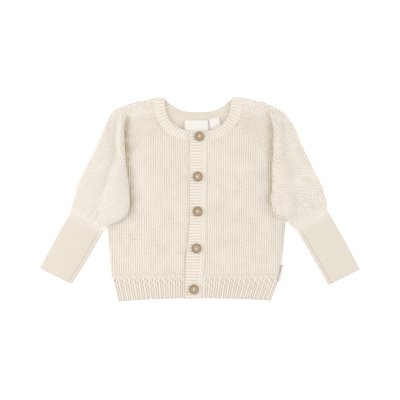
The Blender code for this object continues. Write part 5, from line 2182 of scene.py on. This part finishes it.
@dataclass
class Studio:
    """Floor, soft lights and the camera straight above.

    Args:
        lens: Focal length in millimetres.
        sensor: Sensor width in millimetres.
        frame_width: What the view spans at the cloth, in metres.
        cloth: Height of the cloth that this counts for, in metres.
        centre: Plan point in the middle of the view, in metres.
        sky: Strength of the even light all round.
        side_power: Power of each side softbox in watts.
        top_power: Power of the overhead softbox in watts.
    """

    lens: float = 100.0
    sensor: float = 36.0
    frame_width: float = 0.540
    cloth: float = 0.004
    centre: Pair = (0.00034, -0.00047)
    sky: float = 0.62
    side_power: float = 9.0
    top_power: float = 14.0

    def camera(self) -> None:
        """Place the camera so that the frame spans frame_width at the cloth."""
        data = bpy.data.cameras.new("camera")
        data.lens, data.sensor_width = self.lens, self.sensor
        data.sensor_fit = "HORIZONTAL"
        data.clip_start, data.clip_end = 0.05, 20.0
        data.dof.use_dof = False
        item = bpy.data.objects.new("camera", data)
        distance = self.frame_width * self.lens / self.sensor
        item.location = (self.centre[0], self.centre[1], distance + self.cloth)
        bpy.context.scene.collection.objects.link(item)
        bpy.context.scene.camera = item

    def _softbox(self, name: str, place: tuple[float, float, float], size: float,
                 power: float) -> None:
        """One square area light turned to the garment."""
        data = bpy.data.lights.new(name, "AREA")
        data.shape, data.size, data.energy = "SQUARE", size, power
        item = bpy.data.objects.new(name, data)
        item.location = place
        x, y, z = place
        item.rotation_euler = (math.atan2(math.hypot(x, y), z), 0.0, math.atan2(x, -y))
        bpy.context.scene.collection.objects.link(item)

    def lights(self) -> None:
        """Even sky, an overhead box and one low box on each side."""
        world = bpy.data.worlds.new("studio")
        world.use_nodes = True
        sky = world.node_tree.nodes["Background"]
        sky.inputs["Color"].default_value = (1.0, 1.0, 1.0, 1.0)
        sky.inputs["Strength"].default_value = self.sky
        bpy.context.scene.world = world
        self._softbox("overhead_box", (-0.45, 0.05, 1.9), 1.1, self.top_power)
        self._softbox("left_box", (-1.5, 0.1, 0.75), 0.6, self.side_power)
        self._softbox("right_box", (1.5, 0.1, 0.75), 0.6, self.side_power * 0.9)

    def floor(self) -> None:
        """A wide pale floor just under the cloth."""
        reach, level = 4000.0, -0.05
        ids = np.arange(9).reshape(3, 3)
        across, down = np.meshgrid([-reach, 0.0, reach], [reach, 0.0, -reach])
        points = np.stack([across.ravel(), down.ravel(), np.full(9, level)], axis=1)
        material = FloorFinish().material("floor")
        item = new_object("floor", points * MM, [quads(ids)], np.zeros((9, 3)), material)

    def build(self) -> None:
        """Set up camera, lights and floor."""
        bpy.context.scene.view_settings.view_transform = "Standard"
        self.camera()
        self.lights()
        self.floor()


ARM_CONTRAST = {Side.RIGHT: (1.2, 0.55), Side.LEFT: (1.45, 1.5)}
ARM_CREASES = {
    Side.RIGHT: (Crease((-112.0, 88.0), (-122.0, 20.0), 8.0, -0.8),
                 Crease((-132.0, 60.0), (-150.0, 0.0), 9.0, 0.6)),
    Side.LEFT: (Crease((112.0, 88.0), (122.0, 20.0), 8.0, -0.8),
                Crease((130.0, 60.0), (148.0, 0.0), 9.0, 0.6))}


def build_garment() -> None:
    """Make every visible piece in order."""
    made = {name: finish.material(f"{name}_yarn") for name, finish in FINISHES.items()}
    Body(made["body"]).build()
    for side in Side:
        Sleeve(side, ARM_CONTRAST[side], creases=ARM_CREASES[side]).build(made["sleeve"])
        Cuff(side).build(made["cuff"])
    Neckband().build(made["band"])
    Placket().build(made["band"])
    Seams(made["seam"]).build()
    wood = WoodFinish(pale=(206, 184, 152), dark=(172, 146, 112), rim=(136, 116, 90),
                      hole=(66, 50, 36)).material("button_wood")
    thread = YarnFinish((255, 248, 232), (222, 206, 180), relief=0.2).material("button_thread")
    for number, (x, y) in enumerate(BUTTONS, start=1):
        Button(number, x, y, turn=17.0 * number).build(wood, thread)
    tape = TapeFinish((229, 225, 218)).material("label_tape")
    label_z = LAYERS.back_z + LAYERS.wall / 2 + LAYERS.layer + LAYERS.tape_wall / 2
    Label("neck_label", (-4.4, 99.2), (15.8, 8.2), 0.6, label_z).build(tape)
    Label("size_label", (20.6, 103.4), (7.2, 7.6), 14.0, label_z).build(tape)
    SideTab().build(tape)


def main() -> None:
    """Load the frame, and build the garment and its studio."""
    logging.basicConfig(level=logging.INFO, format="%(name)s: %(message)s")
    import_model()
    Studio().build()
    build_garment()


if __name__ == "__main__":
    main()
